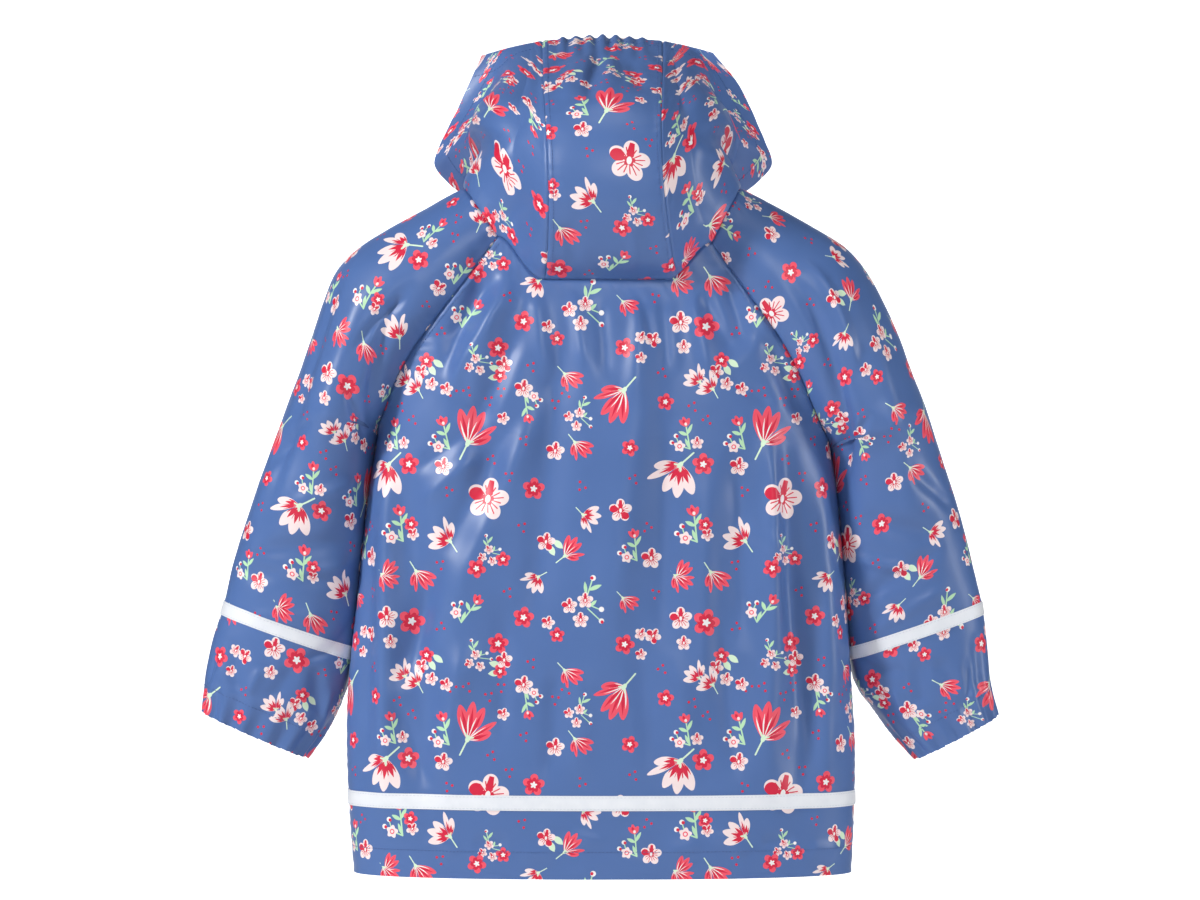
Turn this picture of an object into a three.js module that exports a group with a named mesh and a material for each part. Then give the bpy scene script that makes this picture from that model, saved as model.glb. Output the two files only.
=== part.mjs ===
import * as THREE from 'three';

// A child's hooded rain jacket of coated cloth, size 98/104, filled out as if worn, with nobody in it.
// Millimetres, +Z up. The front faces -Y and the wearer's left is +X.
// The origin is at the base of the neck, between the shoulders. Heights in the tables are above the hem.

const ORIGIN_HEIGHT = 530;
const WALL = 1.5;
const TAPE_WALL = 1;
const SEAM_GAP = 0.3;
const BODY_ROUNDNESS = 2.3;
// The sleeve's stations at the underarm, where the raglan seams end, and at the cuff edge.
const RAGLAN_STEPS = 9;
const SLEEVE_END = 18;

const LAP_REACH = 20;
const LAP_FADE = 26;
const LAP_LIFT = 1.6;
const NECK_BACK_HEIGHT = 494;
const NECK_FRONT_HEIGHT = 486;
const NECK_BACK_FLAT = 0.5;
const NECK_FRONT_FLAT = 0.2;
const UNDERARM_HEIGHT = 363;

// Folds die out toward seams and openings. These say over how much of a panel they do so.
const EDGE_FADE = 0.1;
const NECK_FADE = { from: 1.8, to: 1.98 };
const SLEEVE_SEAM_FADE = 0.06;
const SLEEVE_NECK_FADE = { from: 0.1, to: 1.2 };
const HOOD_EDGE_FADE = 0.08;
const HOOD_CENTRE_FADE = 0.2;
const HOOD_SEAM_POWER = 8;
const FOLD_START_FADE = { from: -0.1, to: 0.25 };
const FOLD_END_FADE = { from: 0.75, to: 1.1 };

const TAPE_WIDTH = 12.5;
const BODY_TAPE_HEIGHT = 63;
const SLEEVE_TAPE_STATION = 14;
const SLEEVE_STATION_LENGTH = 37;
const SLEEVE_GIRTH = 330;

const CUFF_GATHERS = 14;
const CUFF_GATHER_DEPTH = 2.1;
const CUFF_GATHER_START = 15.6;
const HOOD_GATHERS = 9;
const HOOD_GATHER_DEPTH = 1.6;
const HOOD_GATHER_START = 0.8;
const HOOD_GATHER_FADE = { from: 0.12, to: 0.4 };

const STUD_COUNT = 5;
const STUD_RADIUS = 6.5;
const STUD_THICKNESS = 2.4;
const STUD_BASE_RADIUS = 6.1;
const STUD_RIM_HEIGHT = 1.08;
const STUD_DOME = { radius: 4.55, height: 2.04 };
const STUD_SEGMENTS = 20;
const STUD_FIRST_HEIGHT = 95;
const STUD_PITCH = 86;

// How finely the pieces are divided.
const COLUMNS = {
  backSide: 8,
  backMiddle: 16,
  front: 9,
  lap: 5,
  sleeve: 24,
  hoodSide: 14,
  hoodCentre: 8,
  perGather: 4,
};
const ROWS_TO_UNDERARM = 7;
const HEM_TURN_UP = 25;
const PLAIN_SLEEVE_ROWS = 13;
const STATION_BELOW_TAPE = 15;
const CUFF_STATIONS = [16, 16.7, 17.35, SLEEVE_END];

const CLOTH_BLUE = 0x506ea5;
const TAPE_WHITE = 0xe6ebf3;
const STUD_METAL = 0xb9bec6;

// Half widths to the wearer's left and right, and depths to the back and front, of the body.
const BODY = [
  { height: 0, left: 208, right: 209, back: 72, front: 74 },
  { height: 55, left: 212, right: 211.5, back: 75, front: 77 },
  { height: 110, left: 214, right: 212, back: 76, front: 79 },
  { height: 160, left: 212.5, right: 209, back: 76, front: 80 },
  { height: 228, left: 205.5, right: 205, back: 77, front: 81 },
  { height: 317, left: 196, right: 197, back: 79, front: 81 },
  { height: 370, left: 188, right: 190, back: 80, front: 79 },
  { height: 440, left: 186, right: 189, back: 76, front: 70 },
  { height: 494, left: 184, right: 186, back: 65, front: 60 },
  { height: 540, left: 178, right: 180, back: 56, front: 52 },
];

// Stations of each sleeve from the neck to the cuff edge. The outer line is its outline. The inner
// line is the back raglan seam down to the underarm, and the inside of the arm from there on.
const LEFT_SLEEVE = [
  { station: 0, outer: 116, outerHeight: 573, inner: 86, innerHeight: 530, middle: 2, depth: 53 },
  { station: 1, outer: 132, outerHeight: 565, inner: 99, innerHeight: 513, middle: 2, depth: 58 },
  { station: 2, outer: 153, outerHeight: 553, inner: 113, innerHeight: 494, middle: 2, depth: 62 },
  { station: 3, outer: 179, outerHeight: 539, inner: 128, innerHeight: 475, middle: 1, depth: 65 },
  { station: 4, outer: 206, outerHeight: 521.5, inner: 141, innerHeight: 458, middle: 1, depth: 67 },
  { station: 5, outer: 223.5, outerHeight: 502, inner: 153, innerHeight: 442, middle: 0, depth: 68 },
  { station: 6, outer: 234, outerHeight: 477, inner: 164, innerHeight: 425, middle: 0, depth: 68 },
  { station: 7, outer: 244, outerHeight: 447, inner: 173, innerHeight: 408, middle: -1, depth: 67 },
  { station: 8, outer: 253, outerHeight: 421, inner: 180.5, innerHeight: 389, middle: -1, depth: 66 },
  { station: 9, outer: 262, outerHeight: 397, inner: 188.5, innerHeight: 370, middle: -2, depth: 64 },
  { station: 10, outer: 275, outerHeight: 364, inner: 194.1, innerHeight: 338, middle: -7, depth: 60 },
  { station: 11, outer: 289, outerHeight: 325, inner: 198.4, innerHeight: 298, middle: -13, depth: 56 },
  { station: 12, outer: 301, outerHeight: 290, inner: 201.8, innerHeight: 258, middle: -17, depth: 52 },
  { station: 13, outer: 311, outerHeight: 258, inner: 204.9, innerHeight: 222, middle: -19, depth: 48 },
  { station: 14, outer: 320, outerHeight: 221, inner: 209.4, innerHeight: 182, middle: -21, depth: 44 },
  { station: 15, outer: 329, outerHeight: 192, inner: 215, innerHeight: 155, middle: -21, depth: 41 },
  { station: 16, outer: 334, outerHeight: 167, inner: 223, innerHeight: 134, middle: -19, depth: 37 },
  { station: 17, outer: 335, outerHeight: 150, inner: 233, innerHeight: 117, middle: -18, depth: 32 },
  { station: 18, outer: 336, outerHeight: 133, inner: 249, innerHeight: 95, middle: -17, depth: 27 },
];

const RIGHT_SLEEVE = [
  { station: 0, outer: 116, outerHeight: 573, inner: 91, innerHeight: 525, middle: 2, depth: 53 },
  { station: 1, outer: 132, outerHeight: 565, inner: 104, innerHeight: 506, middle: 2, depth: 58 },
  { station: 2, outer: 153, outerHeight: 554, inner: 118, innerHeight: 487, middle: 2, depth: 62 },
  { station: 3, outer: 178, outerHeight: 540, inner: 131, innerHeight: 469, middle: 1, depth: 65 },
  { station: 4, outer: 204, outerHeight: 523.5, inner: 143, innerHeight: 452, middle: 1, depth: 67 },
  { station: 5, outer: 222, outerHeight: 503, inner: 154, innerHeight: 435, middle: 0, depth: 68 },
  { station: 6, outer: 237, outerHeight: 476, inner: 164, innerHeight: 416, middle: 0, depth: 68 },
  { station: 7, outer: 250, outerHeight: 447, inner: 172, innerHeight: 397, middle: -1, depth: 67 },
  { station: 8, outer: 262, outerHeight: 414, inner: 181, innerHeight: 377, middle: -1, depth: 66 },
  { station: 9, outer: 273, outerHeight: 386, inner: 191.5, innerHeight: 356, middle: -2, depth: 64 },
  { station: 10, outer: 284, outerHeight: 354, inner: 196.9, innerHeight: 325, middle: -7, depth: 60 },
  { station: 11, outer: 295, outerHeight: 320, inner: 199.4, innerHeight: 287, middle: -13, depth: 56 },
  { station: 12, outer: 305, outerHeight: 287, inner: 201.9, innerHeight: 252, middle: -17, depth: 52 },
  { station: 13, outer: 313, outerHeight: 255, inner: 204.4, innerHeight: 219, middle: -19, depth: 48 },
  { station: 14, outer: 321, outerHeight: 221, inner: 208, innerHeight: 182, middle: -21, depth: 44 },
  { station: 15, outer: 325, outerHeight: 190, inner: 215, innerHeight: 155, middle: -21, depth: 41 },
  { station: 16, outer: 327, outerHeight: 164, inner: 230, innerHeight: 134, middle: -19, depth: 37 },
  { station: 17, outer: 329, outerHeight: 147, inner: 245, innerHeight: 115, middle: -18, depth: 32 },
  { station: 18, outer: 333, outerHeight: 130, inner: 265, innerHeight: 94, middle: -17, depth: 27 },
];

// The front raglan seam starts this much nearer the middle and lower than the back one.
const FRONT_SEAM_IN = 16;
const FRONT_SEAM_DROP = 6;

// The two seams of the hood's centre strip, from the neck up and forward to the face edge.
const HOOD_SEAMS = [
  { share: 0.14, left: 45, right: 58, back: 84, height: 514 },
  { share: 0.3, left: 44, right: 52, back: 106, height: 556 },
  { share: 0.45, left: 45, right: 49, back: 106, height: 596 },
  { share: 0.58, left: 47, right: 49, back: 88, height: 628 },
  { share: 0.71, left: 49, right: 50, back: 50, height: 654 },
  { share: 0.83, left: 50, right: 51, back: 2, height: 675 },
  { share: 0.93, left: 51, right: 52, back: -42, height: 694 },
];

// The face edge at each side, from the centre front neck to the corner at the top.
const FACE_EDGE = [
  { share: 0.12, left: 22, right: 22, back: -78, height: 514 },
  { share: 0.27, left: 58, right: 58, back: -92, height: 546 },
  { share: 0.43, left: 118, right: 118, back: -89, height: 573 },
  { share: 0.53, left: 137, right: 138, back: -83, height: 588 },
  { share: 0.6, left: 144, right: 146, back: -76, height: 601 },
  { share: 0.74, left: 131, right: 134, back: -71, height: 629 },
  { share: 0.9, left: 114, right: 117, back: -68, height: 667 },
];
const HOOD_TOP_HEIGHT = 708;
const HOOD_TOP_BACK = -68;
const HOOD_TOP_DROP = 16;
const HOOD_TOP_DROP_REACH = 101;
const HOOD_CORNER = { left: 103, right: 95 };
const HOOD_SEAM_TOP = { left: 51, right: 52 };
const HOOD_CROWN = 7;
const HOOD_SIDE_TUCK = 17;
const HOOD_SIDE_PRESS = 20;
const HOOD_SIDE_DROP = 12;
const HOOD_SHOULDER_BULGE = 12;
const HOOD_SHOULDER_LIFT = 12;
const HOOD_SEAM_LEFT = 0.49;
const HOOD_SEAM_RIGHT = -0.61;
const HOOD_FRONT_END = 0.66;
const HOOD_NECK_SHARES = [0, 0.2, 0.73, 1];

// Soft ridges and troughs of the body, along lines from one place to another as seen from behind.
const BACK_FOLDS = [
  { from: 2, fromHeight: 470, to: 0, toHeight: 95, width: 24, rise: 4 },
  { from: 111, fromHeight: 412, to: 86, toHeight: 295, width: 15, rise: -5 },
  { from: 66, fromHeight: 490, to: 124, toHeight: 418, width: 10, rise: 4 },
  { from: 88, fromHeight: 498, to: 134, toHeight: 440, width: 8, rise: -4 },
  { from: 178, fromHeight: 360, to: 184, toHeight: 60, width: 9, rise: 3.5 },
  { from: 162, fromHeight: 335, to: 146, toHeight: 60, width: 15, rise: -7 },
  { from: 112, fromHeight: 270, to: 118, toHeight: 150, width: 18, rise: 3 },
  { from: -141, fromHeight: 370, to: -138, toHeight: 90, width: 9, rise: 4.5 },
  { from: -154, fromHeight: 290, to: -166, toHeight: 50, width: 14, rise: -6.5 },
  { from: -184, fromHeight: 250, to: -188, toHeight: 70, width: 8, rise: 3 },
  { from: -96, fromHeight: 310, to: -104, toHeight: 90, width: 20, rise: -3.5 },
  { from: -80, fromHeight: 484, to: -112, toHeight: 430, width: 9, rise: -4.5 },
  { from: -32, fromHeight: 482, to: -25, toHeight: 390, width: 8, rise: 2.4 },
  { from: -53, fromHeight: 484, to: -56, toHeight: 420, width: 7, rise: -2.6 },
];
const FRONT_FOLDS = [
  { from: 150, fromHeight: 350, to: 140, toHeight: 50, width: 15, rise: -6 },
  { from: 178, fromHeight: 345, to: 180, toHeight: 70, width: 9, rise: 3.5 },
  { from: 96, fromHeight: 400, to: 82, toHeight: 120, width: 16, rise: -4 },
  { from: -144, fromHeight: 330, to: -152, toHeight: 60, width: 14, rise: -6 },
  { from: -92, fromHeight: 390, to: -86, toHeight: 90, width: 17, rise: -4 },
  { from: -118, fromHeight: 300, to: -120, toHeight: 80, width: 10, rise: 3 },
];

// Folds of the sleeves. Around runs from the back seam over the arm to the front seam, 0 to 1.
const LEFT_SLEEVE_FOLDS = [
  { from: 0.37, fromStation: 5, to: 0.37, toStation: 12, width: 10, rise: -3.5 },
  { from: 0.24, fromStation: 4.4, to: 0.25, toStation: 11, width: 15, rise: 3 },
  { from: 0.15, fromStation: 3.6, to: 0.08, toStation: 8.6, width: 9, rise: -5 },
  { from: 0.09, fromStation: 11.4, to: 0.36, toStation: 12.5, width: 9, rise: -4 },
  { from: 0.14, fromStation: 12.5, to: 0.4, toStation: 13.1, width: 8, rise: -3 },
  { from: 0.12, fromStation: 16.2, to: 0.16, toStation: 14.6, width: 8, rise: -3 },
  { from: 0.24, fromStation: 16.2, to: 0.21, toStation: 14.8, width: 7, rise: -2.6 },
  { from: 0.33, fromStation: 16.4, to: 0.36, toStation: 14.7, width: 8, rise: -3 },
  { from: 0.66, fromStation: 11, to: 0.9, toStation: 12.2, width: 10, rise: -4 },
  { from: 0.85, fromStation: 4, to: 0.92, toStation: 8.4, width: 9, rise: -5 },
  { from: 0.7, fromStation: 16.2, to: 0.74, toStation: 14.6, width: 8, rise: -3 },
];
const RIGHT_SLEEVE_FOLDS = [
  { from: 0.16, fromStation: 3.2, to: 0.09, toStation: 10.4, width: 10, rise: -6 },
  { from: 0.3, fromStation: 6.5, to: 0.27, toStation: 11.5, width: 14, rise: 3 },
  { from: 0.12, fromStation: 10.8, to: 0.33, toStation: 11.9, width: 9, rise: -4 },
  { from: 0.1, fromStation: 12.9, to: 0.34, toStation: 12.2, width: 8, rise: -3 },
  { from: 0.2, fromStation: 16.3, to: 0.24, toStation: 14.7, width: 7, rise: -3 },
  { from: 0.31, fromStation: 16.2, to: 0.28, toStation: 14.9, width: 7, rise: -2.6 },
  { from: 0.39, fromStation: 16.4, to: 0.4, toStation: 14.6, width: 8, rise: -3 },
  { from: 0.64, fromStation: 11.6, to: 0.88, toStation: 12.6, width: 10, rise: -4 },
  { from: 0.84, fromStation: 3.6, to: 0.92, toStation: 8, width: 9, rise: -5 },
  { from: 0.74, fromStation: 16.2, to: 0.7, toStation: 14.8, width: 8, rise: -3 },
];
const HOOD_FOLDS = [
  { from: 14, fromHeight: 684, to: 32, toHeight: 640, width: 8, rise: 3.5 },
  { from: -8, fromHeight: 684, to: -4, toHeight: 630, width: 8, rise: 2.6 },
  { from: 2, fromHeight: 684, to: 12, toHeight: 636, width: 6, rise: -3 },
  { from: -20, fromHeight: 684, to: -34, toHeight: 646, width: 7, rise: -3 },
  { from: 78, fromHeight: 636, to: 112, toHeight: 592, width: 12, rise: -4 },
  { from: -74, fromHeight: 644, to: -116, toHeight: 600, width: 13, rise: -4 },
];

const { clamp, lerp, smoothstep } = THREE.MathUtils;

// A smooth curve through one column of a table, over another column that rises from row to row.
function columnCurve(rows, over, column) {
  const places = rows.map((row) => row[over]);
  const values = rows.map((row) => row[column]);
  const last = rows.length - 1;
  const slopes = rows.map((_, i) => {
    const before = Math.max(i - 1, 0);
    const after = Math.min(i + 1, last);
    return (values[after] - values[before]) / (places[after] - places[before]);
  });
  return (place) => {
    const at = clamp(place, places[0], places[last]);
    let i = 0;
    while (i < last - 1 && at > places[i + 1]) {
      i += 1;
    }
    const span = places[i + 1] - places[i];
    const f = (at - places[i]) / span;
    const g = 1 - f;
    const ends = values[i] * g * g * (1 + 2 * f) + values[i + 1] * f * f * (1 + 2 * g);
    return ends + span * f * g * (slopes[i] * g - slopes[i + 1] * f);
  };
}

function tableCurves(rows, over) {
  const curves = {};
  for (const column of Object.keys(rows[0])) {
    curves[column] = columnCurve(rows, over, column);
  }
  return curves;
}

// How far a fold lifts or sinks a place, both measured in millimetres on the cloth.
function foldRise(place, start, end, width, rise) {
  const line = end.clone().sub(start);
  const along = place.clone().sub(start).dot(line) / line.lengthSq();
  const nearest = start.clone().addScaledVector(line, clamp(along, 0, 1));
  const away = place.distanceTo(nearest) / width;
  const begun = smoothstep(along, FOLD_START_FADE.from, FOLD_START_FADE.to);
  const ended = smoothstep(along, FOLD_END_FADE.from, FOLD_END_FADE.to);
  return rise * begun * (1 - ended) * Math.exp(-away * away);
}

function panelFolds(folds, across, height) {
  const place = new THREE.Vector2(across, height);
  let total = 0;
  for (const fold of folds) {
    const start = new THREE.Vector2(fold.from, fold.fromHeight);
    const end = new THREE.Vector2(fold.to, fold.toHeight);
    total += foldRise(place, start, end, fold.width, fold.rise);
  }
  return total;
}

function sleeveFolds(folds, around, station) {
  const place = new THREE.Vector2(around * SLEEVE_GIRTH, station * SLEEVE_STATION_LENGTH);
  let total = 0;
  for (const fold of folds) {
    const start = new THREE.Vector2(fold.from * SLEEVE_GIRTH, fold.fromStation * SLEEVE_STATION_LENGTH);
    const end = new THREE.Vector2(fold.to * SLEEVE_GIRTH, fold.toStation * SLEEVE_STATION_LENGTH);
    total += foldRise(place, start, end, fold.width, fold.rise);
  }
  return total;
}

// Body

const body = tableCurves(BODY, 'height');

function flattened(value) {
  return Math.sign(value) * Math.abs(value) ** (2 / BODY_ROUNDNESS);
}

// The angle runs from the centre back toward the wearer's left, so the left side is a quarter turn.
function bodyPoint(angle, height) {
  const sideways = Math.sin(angle);
  const rearward = Math.cos(angle);
  const halfWidth = sideways >= 0 ? body.left(height) : body.right(height);
  const halfDepth = rearward >= 0 ? body.back(height) : body.front(height);
  return new THREE.Vector3(halfWidth * flattened(sideways), halfDepth * flattened(rearward), height);
}

// The angle from the centre line at which the body is so far out to one side.
function bodyAngle(out, height, side) {
  const halfWidth = side > 0 ? body.left(height) : body.right(height);
  return Math.asin(Math.min(1, out / halfWidth) ** (BODY_ROUNDNESS / 2));
}

const sides = {
  left: { sign: 1, table: tableCurves(LEFT_SLEEVE, 'station'), folds: LEFT_SLEEVE_FOLDS },
  right: { sign: -1, table: tableCurves(RIGHT_SLEEVE, 'station'), folds: RIGHT_SLEEVE_FOLDS },
};

// The raglan seams, by station from the neck to the underarm: an angle round the body and a height.
function backSeam(side, station) {
  const height = side.table.innerHeight(station);
  const reach = station >= RAGLAN_STEPS ? Infinity : side.table.inner(station);
  return { angle: bodyAngle(reach, height, side.sign), height };
}

function frontSeam(side, station) {
  const nearNeck = 1 - station / RAGLAN_STEPS;
  const height = side.table.innerHeight(station) - FRONT_SEAM_DROP * nearNeck;
  const reach = station >= RAGLAN_STEPS ? Infinity : side.table.inner(station) - FRONT_SEAM_IN * nearNeck;
  return { angle: Math.PI - bodyAngle(reach, height, side.sign), height };
}

// A panel is a function of two numbers that gives the points of its outer face.
// Its seams say where it is sewn, and give the inward vector of the neighbour there.
class Panel {
  constructor(point, sample, inside) {
    this.point = point;
    this.seams = [];
    this.turn = 1;
    this.turn = Math.sign(this.inward(...sample).dot(inside.clone().sub(point(...sample))));
  }

  // The unit vector into the garment at a place of the panel.
  inward(u, v) {
    return faceNormal(this.point, u, v).multiplyScalar(this.turn);
  }

  sew(holds, alongU, toward, neighbour) {
    this.seams.push({ holds, alongU, toward, neighbour });
  }
}

const SMALL_STEP = 1e-3;

function difference(point, u, v, du, dv) {
  return point(u + du, v + dv).sub(point(u - du, v - dv));
}

function faceNormal(point, u, v) {
  const alongU = difference(point, u, v, SMALL_STEP, 0);
  const alongV = difference(point, u, v, 0, SMALL_STEP);
  return alongU.cross(alongV).normalize();
}

function lifted(point, u, v, rise) {
  return point(u, v).addScaledVector(faceNormal(point, u, v), rise);
}

// Rows of a body panel rise from 0 at the hem to 1 at the underarm and 2 at the neck.
function rowEnd(side, v, seam) {
  if (v > 1) {
    return seam(side, RAGLAN_STEPS * (2 - v));
  }
  const spare = seam(side, RAGLAN_STEPS).height - UNDERARM_HEIGHT;
  return { angle: Math.PI / 2, height: v * UNDERARM_HEIGHT + v * v * spare };
}

// The neckline dips between its ends, and the rows below it follow.
function rowHeight(endHeight, underarmHeight, v, neckHeight, fromMiddle, flat) {
  if (v <= 1) {
    return endHeight;
  }
  const dip = 1 - smoothstep(Math.abs(fromMiddle), flat, 1);
  return lerp(endHeight, lerp(underarmHeight, neckHeight, v - 1), dip);
}

// How far the folds of a body panel stay below its neckline, from 0 at the neck to 1.
function neckFade(v) {
  return 1 - smoothstep(v, NECK_FADE.from, NECK_FADE.to);
}

function backPoint(u, v) {
  const share = (u + 1) / 2;
  const left = rowEnd(sides.left, v, backSeam);
  const right = rowEnd(sides.right, v, backSeam);
  const underarm = lerp(
    backSeam(sides.right, RAGLAN_STEPS).height,
    backSeam(sides.left, RAGLAN_STEPS).height,
    share,
  );
  const endHeight = lerp(right.height, left.height, share);
  const height = rowHeight(endHeight, underarm, v, NECK_BACK_HEIGHT, u, NECK_BACK_FLAT);
  const angle = lerp(-right.angle, left.angle, share);
  const clear = smoothstep(1 - Math.abs(u), 0, EDGE_FADE) * neckFade(v);
  const rise = clear * panelFolds(BACK_FOLDS, bodyPoint(angle, height).x, height);
  return lifted(bodyPoint, angle, height, -rise);
}

// A front runs from its side and raglan seam, at 0, to its edge beyond the centre, at 1.
// The wearer's right front laps over the left one.
function frontPoint(side, u, v) {
  const seam = rowEnd(side, v, frontSeam);
  const underarm = frontSeam(side, RAGLAN_STEPS).height;
  const height = rowHeight(seam.height, underarm, v, NECK_FRONT_HEIGHT, 1 - u, NECK_FRONT_FLAT);
  const beyond = Math.PI + bodyAngle(LAP_REACH, height, -side.sign);
  const angle = side.sign * lerp(seam.angle, beyond, u);
  const across = bodyPoint(angle, height).x;
  const lap = 1 - smoothstep(side.sign * across, LAP_REACH, LAP_REACH + LAP_FADE);
  const clear = smoothstep(u, 0, EDGE_FADE) * neckFade(v) * (1 - lap);
  const rise = clear * panelFolds(FRONT_FOLDS, across, height) - side.sign * lap * LAP_LIFT;
  return lifted(bodyPoint, angle, height, -rise);
}

// Sleeves

function sleeveSeamPoint(side, seam, station) {
  const table = side.table;
  const inside = new THREE.Vector3(
    side.sign * table.inner(station),
    table.middle(station),
    table.innerHeight(station),
  );
  const { angle, height } = seam(side, Math.min(station, RAGLAN_STEPS));
  return bodyPoint(side.sign * angle, height).lerp(inside, clamp(station - RAGLAN_STEPS, 0, 1));
}

// The largest sine that the sleeve's oval starts from at a seam.
const STEEPEST_START = 0.98;

// Around runs from the back seam, at 0, over the top of the arm to the front seam, at 1.
function smoothSleevePoint(side, around, station) {
  const table = side.table;
  const isBack = around < 0.5;
  const start = sleeveSeamPoint(side, isBack ? backSeam : frontSeam, station);
  const middle = table.middle(station);
  const depth = table.depth(station) * (isBack ? 1 : -1);
  const startTurn = Math.asin(clamp((start.y - middle) / depth, 0, STEEPEST_START));
  const turn = lerp(startTurn, Math.PI, isBack ? 2 * around : 2 - 2 * around);
  const across = (Math.cos(startTurn) - Math.cos(turn)) / (Math.cos(startTurn) + 1);
  return new THREE.Vector3(
    lerp(start.x, side.sign * table.outer(station), across),
    middle + depth * Math.sin(turn),
    lerp(start.z, table.outerHeight(station), across),
  );
}

function sleevePoint(side, around, station) {
  const gathering = smoothstep(station, CUFF_GATHER_START, SLEEVE_END);
  const gathers = CUFF_GATHER_DEPTH * gathering * Math.cos(2 * Math.PI * CUFF_GATHERS * around);
  const fromSeam = smoothstep(Math.min(around, 1 - around), 0, SLEEVE_SEAM_FADE);
  const fromNeck = smoothstep(station, SLEEVE_NECK_FADE.from, SLEEVE_NECK_FADE.to);
  const rise = gathers + fromSeam * fromNeck * sleeveFolds(side.folds, around, station);
  const point = (u, v) => smoothSleevePoint(side, u, v);
  return lifted(point, around, station, side.sign * rise);
}

// Hood

// These make the highest values of x (1 - x)^2 and of x^2 (1 - x)^2 come to 1.
const HUMP_SCALE = 6.75;
const MIDDLE_HUMP_SCALE = 16;

// The neckline of one side of the hood, from the seam of its centre strip, at 0, by the raglan
// seams, at 1 and 2, to its front end, at 3.
function hoodNeckPoint(side, place) {
  if (place < 1) {
    const seamShare = side.sign > 0 ? HOOD_SEAM_LEFT : HOOD_SEAM_RIGHT;
    return backPoint(lerp(seamShare, side.sign, place), 2);
  }
  if (place < 2) {
    return sleevePoint(side, place - 1, 0);
  }
  return frontPoint(side, (place - 2) * HOOD_FRONT_END, 2);
}

function neckShare(place) {
  const leg = clamp(Math.floor(place), 0, 2);
  return lerp(HOOD_NECK_SHARES[leg], HOOD_NECK_SHARES[leg + 1], place - leg);
}

function neckPlace(share) {
  let leg = 0;
  while (leg < 2 && share > HOOD_NECK_SHARES[leg + 1]) {
    leg += 1;
  }
  const from = HOOD_NECK_SHARES[leg];
  return leg + (share - from) / (HOOD_NECK_SHARES[leg + 1] - from);
}

function hoodTopPoint(across) {
  const drop = HOOD_TOP_DROP * (across / HOOD_TOP_DROP_REACH) ** 2;
  return new THREE.Vector3(across, HOOD_TOP_BACK, HOOD_TOP_HEIGHT - drop);
}

function hoodCurve(rows, start, end, side) {
  const column = side.sign > 0 ? 'left' : 'right';
  const points = rows.map((row) => ({
    share: row.share,
    x: side.sign * row[column],
    y: row.back,
    z: row.height,
  }));
  const whole = [{ share: 0, ...start }, ...points, { share: 1, ...end }];
  const curve = tableCurves(whole, 'share');
  return (share) => new THREE.Vector3(curve.x(share), curve.y(share), curve.z(share));
}

for (const [name, side] of Object.entries(sides)) {
  side.hoodSeamTop = hoodTopPoint(side.sign * HOOD_SEAM_TOP[name]);
  side.hoodCorner = hoodTopPoint(side.sign * HOOD_CORNER[name]);
  side.hoodSeam = hoodCurve(HOOD_SEAMS, hoodNeckPoint(side, 0), side.hoodSeamTop, side);
  side.faceEdge = hoodCurve(FACE_EDGE, hoodNeckPoint(side, 3), side.hoodCorner, side);
}

// A patch between four curves that meet at its corners.
function patchPoint(bottom, top, start, end, across, up) {
  const place = bottom(across).multiplyScalar(1 - up);
  place.addScaledVector(top(across), up);
  place.addScaledVector(start(up), 1 - across);
  place.addScaledVector(end(up), across);
  place.addScaledVector(bottom(0), -(1 - across) * (1 - up));
  place.addScaledVector(bottom(1), -across * (1 - up));
  place.addScaledVector(top(0), -(1 - across) * up);
  return place.addScaledVector(top(1), -across * up);
}

function hoodSidePoint(side, place, up) {
  const share = neckShare(place);
  const bottom = (s) => hoodNeckPoint(side, neckPlace(s));
  const top = (s) => hoodTopPoint(lerp(side.hoodSeamTop.x, side.hoodCorner.x, s));
  const point = patchPoint(bottom, top, side.hoodSeam, side.faceEdge, share, up);
  const wave = Math.sin(Math.PI * share);
  const low = HUMP_SCALE * wave * up * (1 - up) ** 2;
  const high = HUMP_SCALE * wave * up ** 2 * (1 - up);
  const middle = MIDDLE_HUMP_SCALE * wave * up ** 2 * (1 - up) ** 2;
  const clear = smoothstep(share, 0, HOOD_EDGE_FADE) * smoothstep(up, 0, EDGE_FADE);
  const folds = clear * panelFolds(HOOD_FOLDS, point.x, point.z);
  const out = HOOD_SHOULDER_BULGE * low - HOOD_SIDE_TUCK * high - HOOD_SIDE_PRESS * middle;
  point.x += side.sign * (out + folds);
  point.z += HOOD_SHOULDER_LIFT * low - HOOD_SIDE_DROP * middle;
  return point;
}

function hoodCentrePoint(across, up) {
  const share = (across + 1) / 2;
  const bottom = (s) => backPoint(lerp(HOOD_SEAM_RIGHT, HOOD_SEAM_LEFT, s), 2);
  const top = (s) => hoodTopPoint(lerp(sides.right.hoodSeamTop.x, sides.left.hoodSeamTop.x, s));
  const point = patchPoint(bottom, top, sides.right.hoodSeam, sides.left.hoodSeam, share, up);
  const crown = HOOD_CROWN * (1 - across * across);
  const fromSeam = smoothstep(1 - Math.abs(across), HOOD_GATHER_FADE.from, HOOD_GATHER_FADE.to);
  const gathering = fromSeam * smoothstep(up, HOOD_GATHER_START, 1);
  const gathers = HOOD_GATHER_DEPTH * gathering * Math.cos(Math.PI * HOOD_GATHERS * across);
  const clear = (1 - across ** HOOD_SEAM_POWER) * smoothstep(up, 0, HOOD_CENTRE_FADE);
  const folds = clear * panelFolds(HOOD_FOLDS, point.x, point.z);
  const swell = crown * Math.sin(Math.PI * up) + folds + gathers;
  return point.addScaledVector(hoodOutward(up), swell);
}

// The direction out of the hood at the middle of its centre strip.
function hoodOutward(up) {
  const seam = sides.left.hoodSeam;
  const along = seam(Math.min(up + SMALL_STEP, 1)).sub(seam(Math.max(up - SMALL_STEP, 0)));
  return new THREE.Vector3(0, along.z, -along.y).normalize();
}

// Panels and seams

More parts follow.
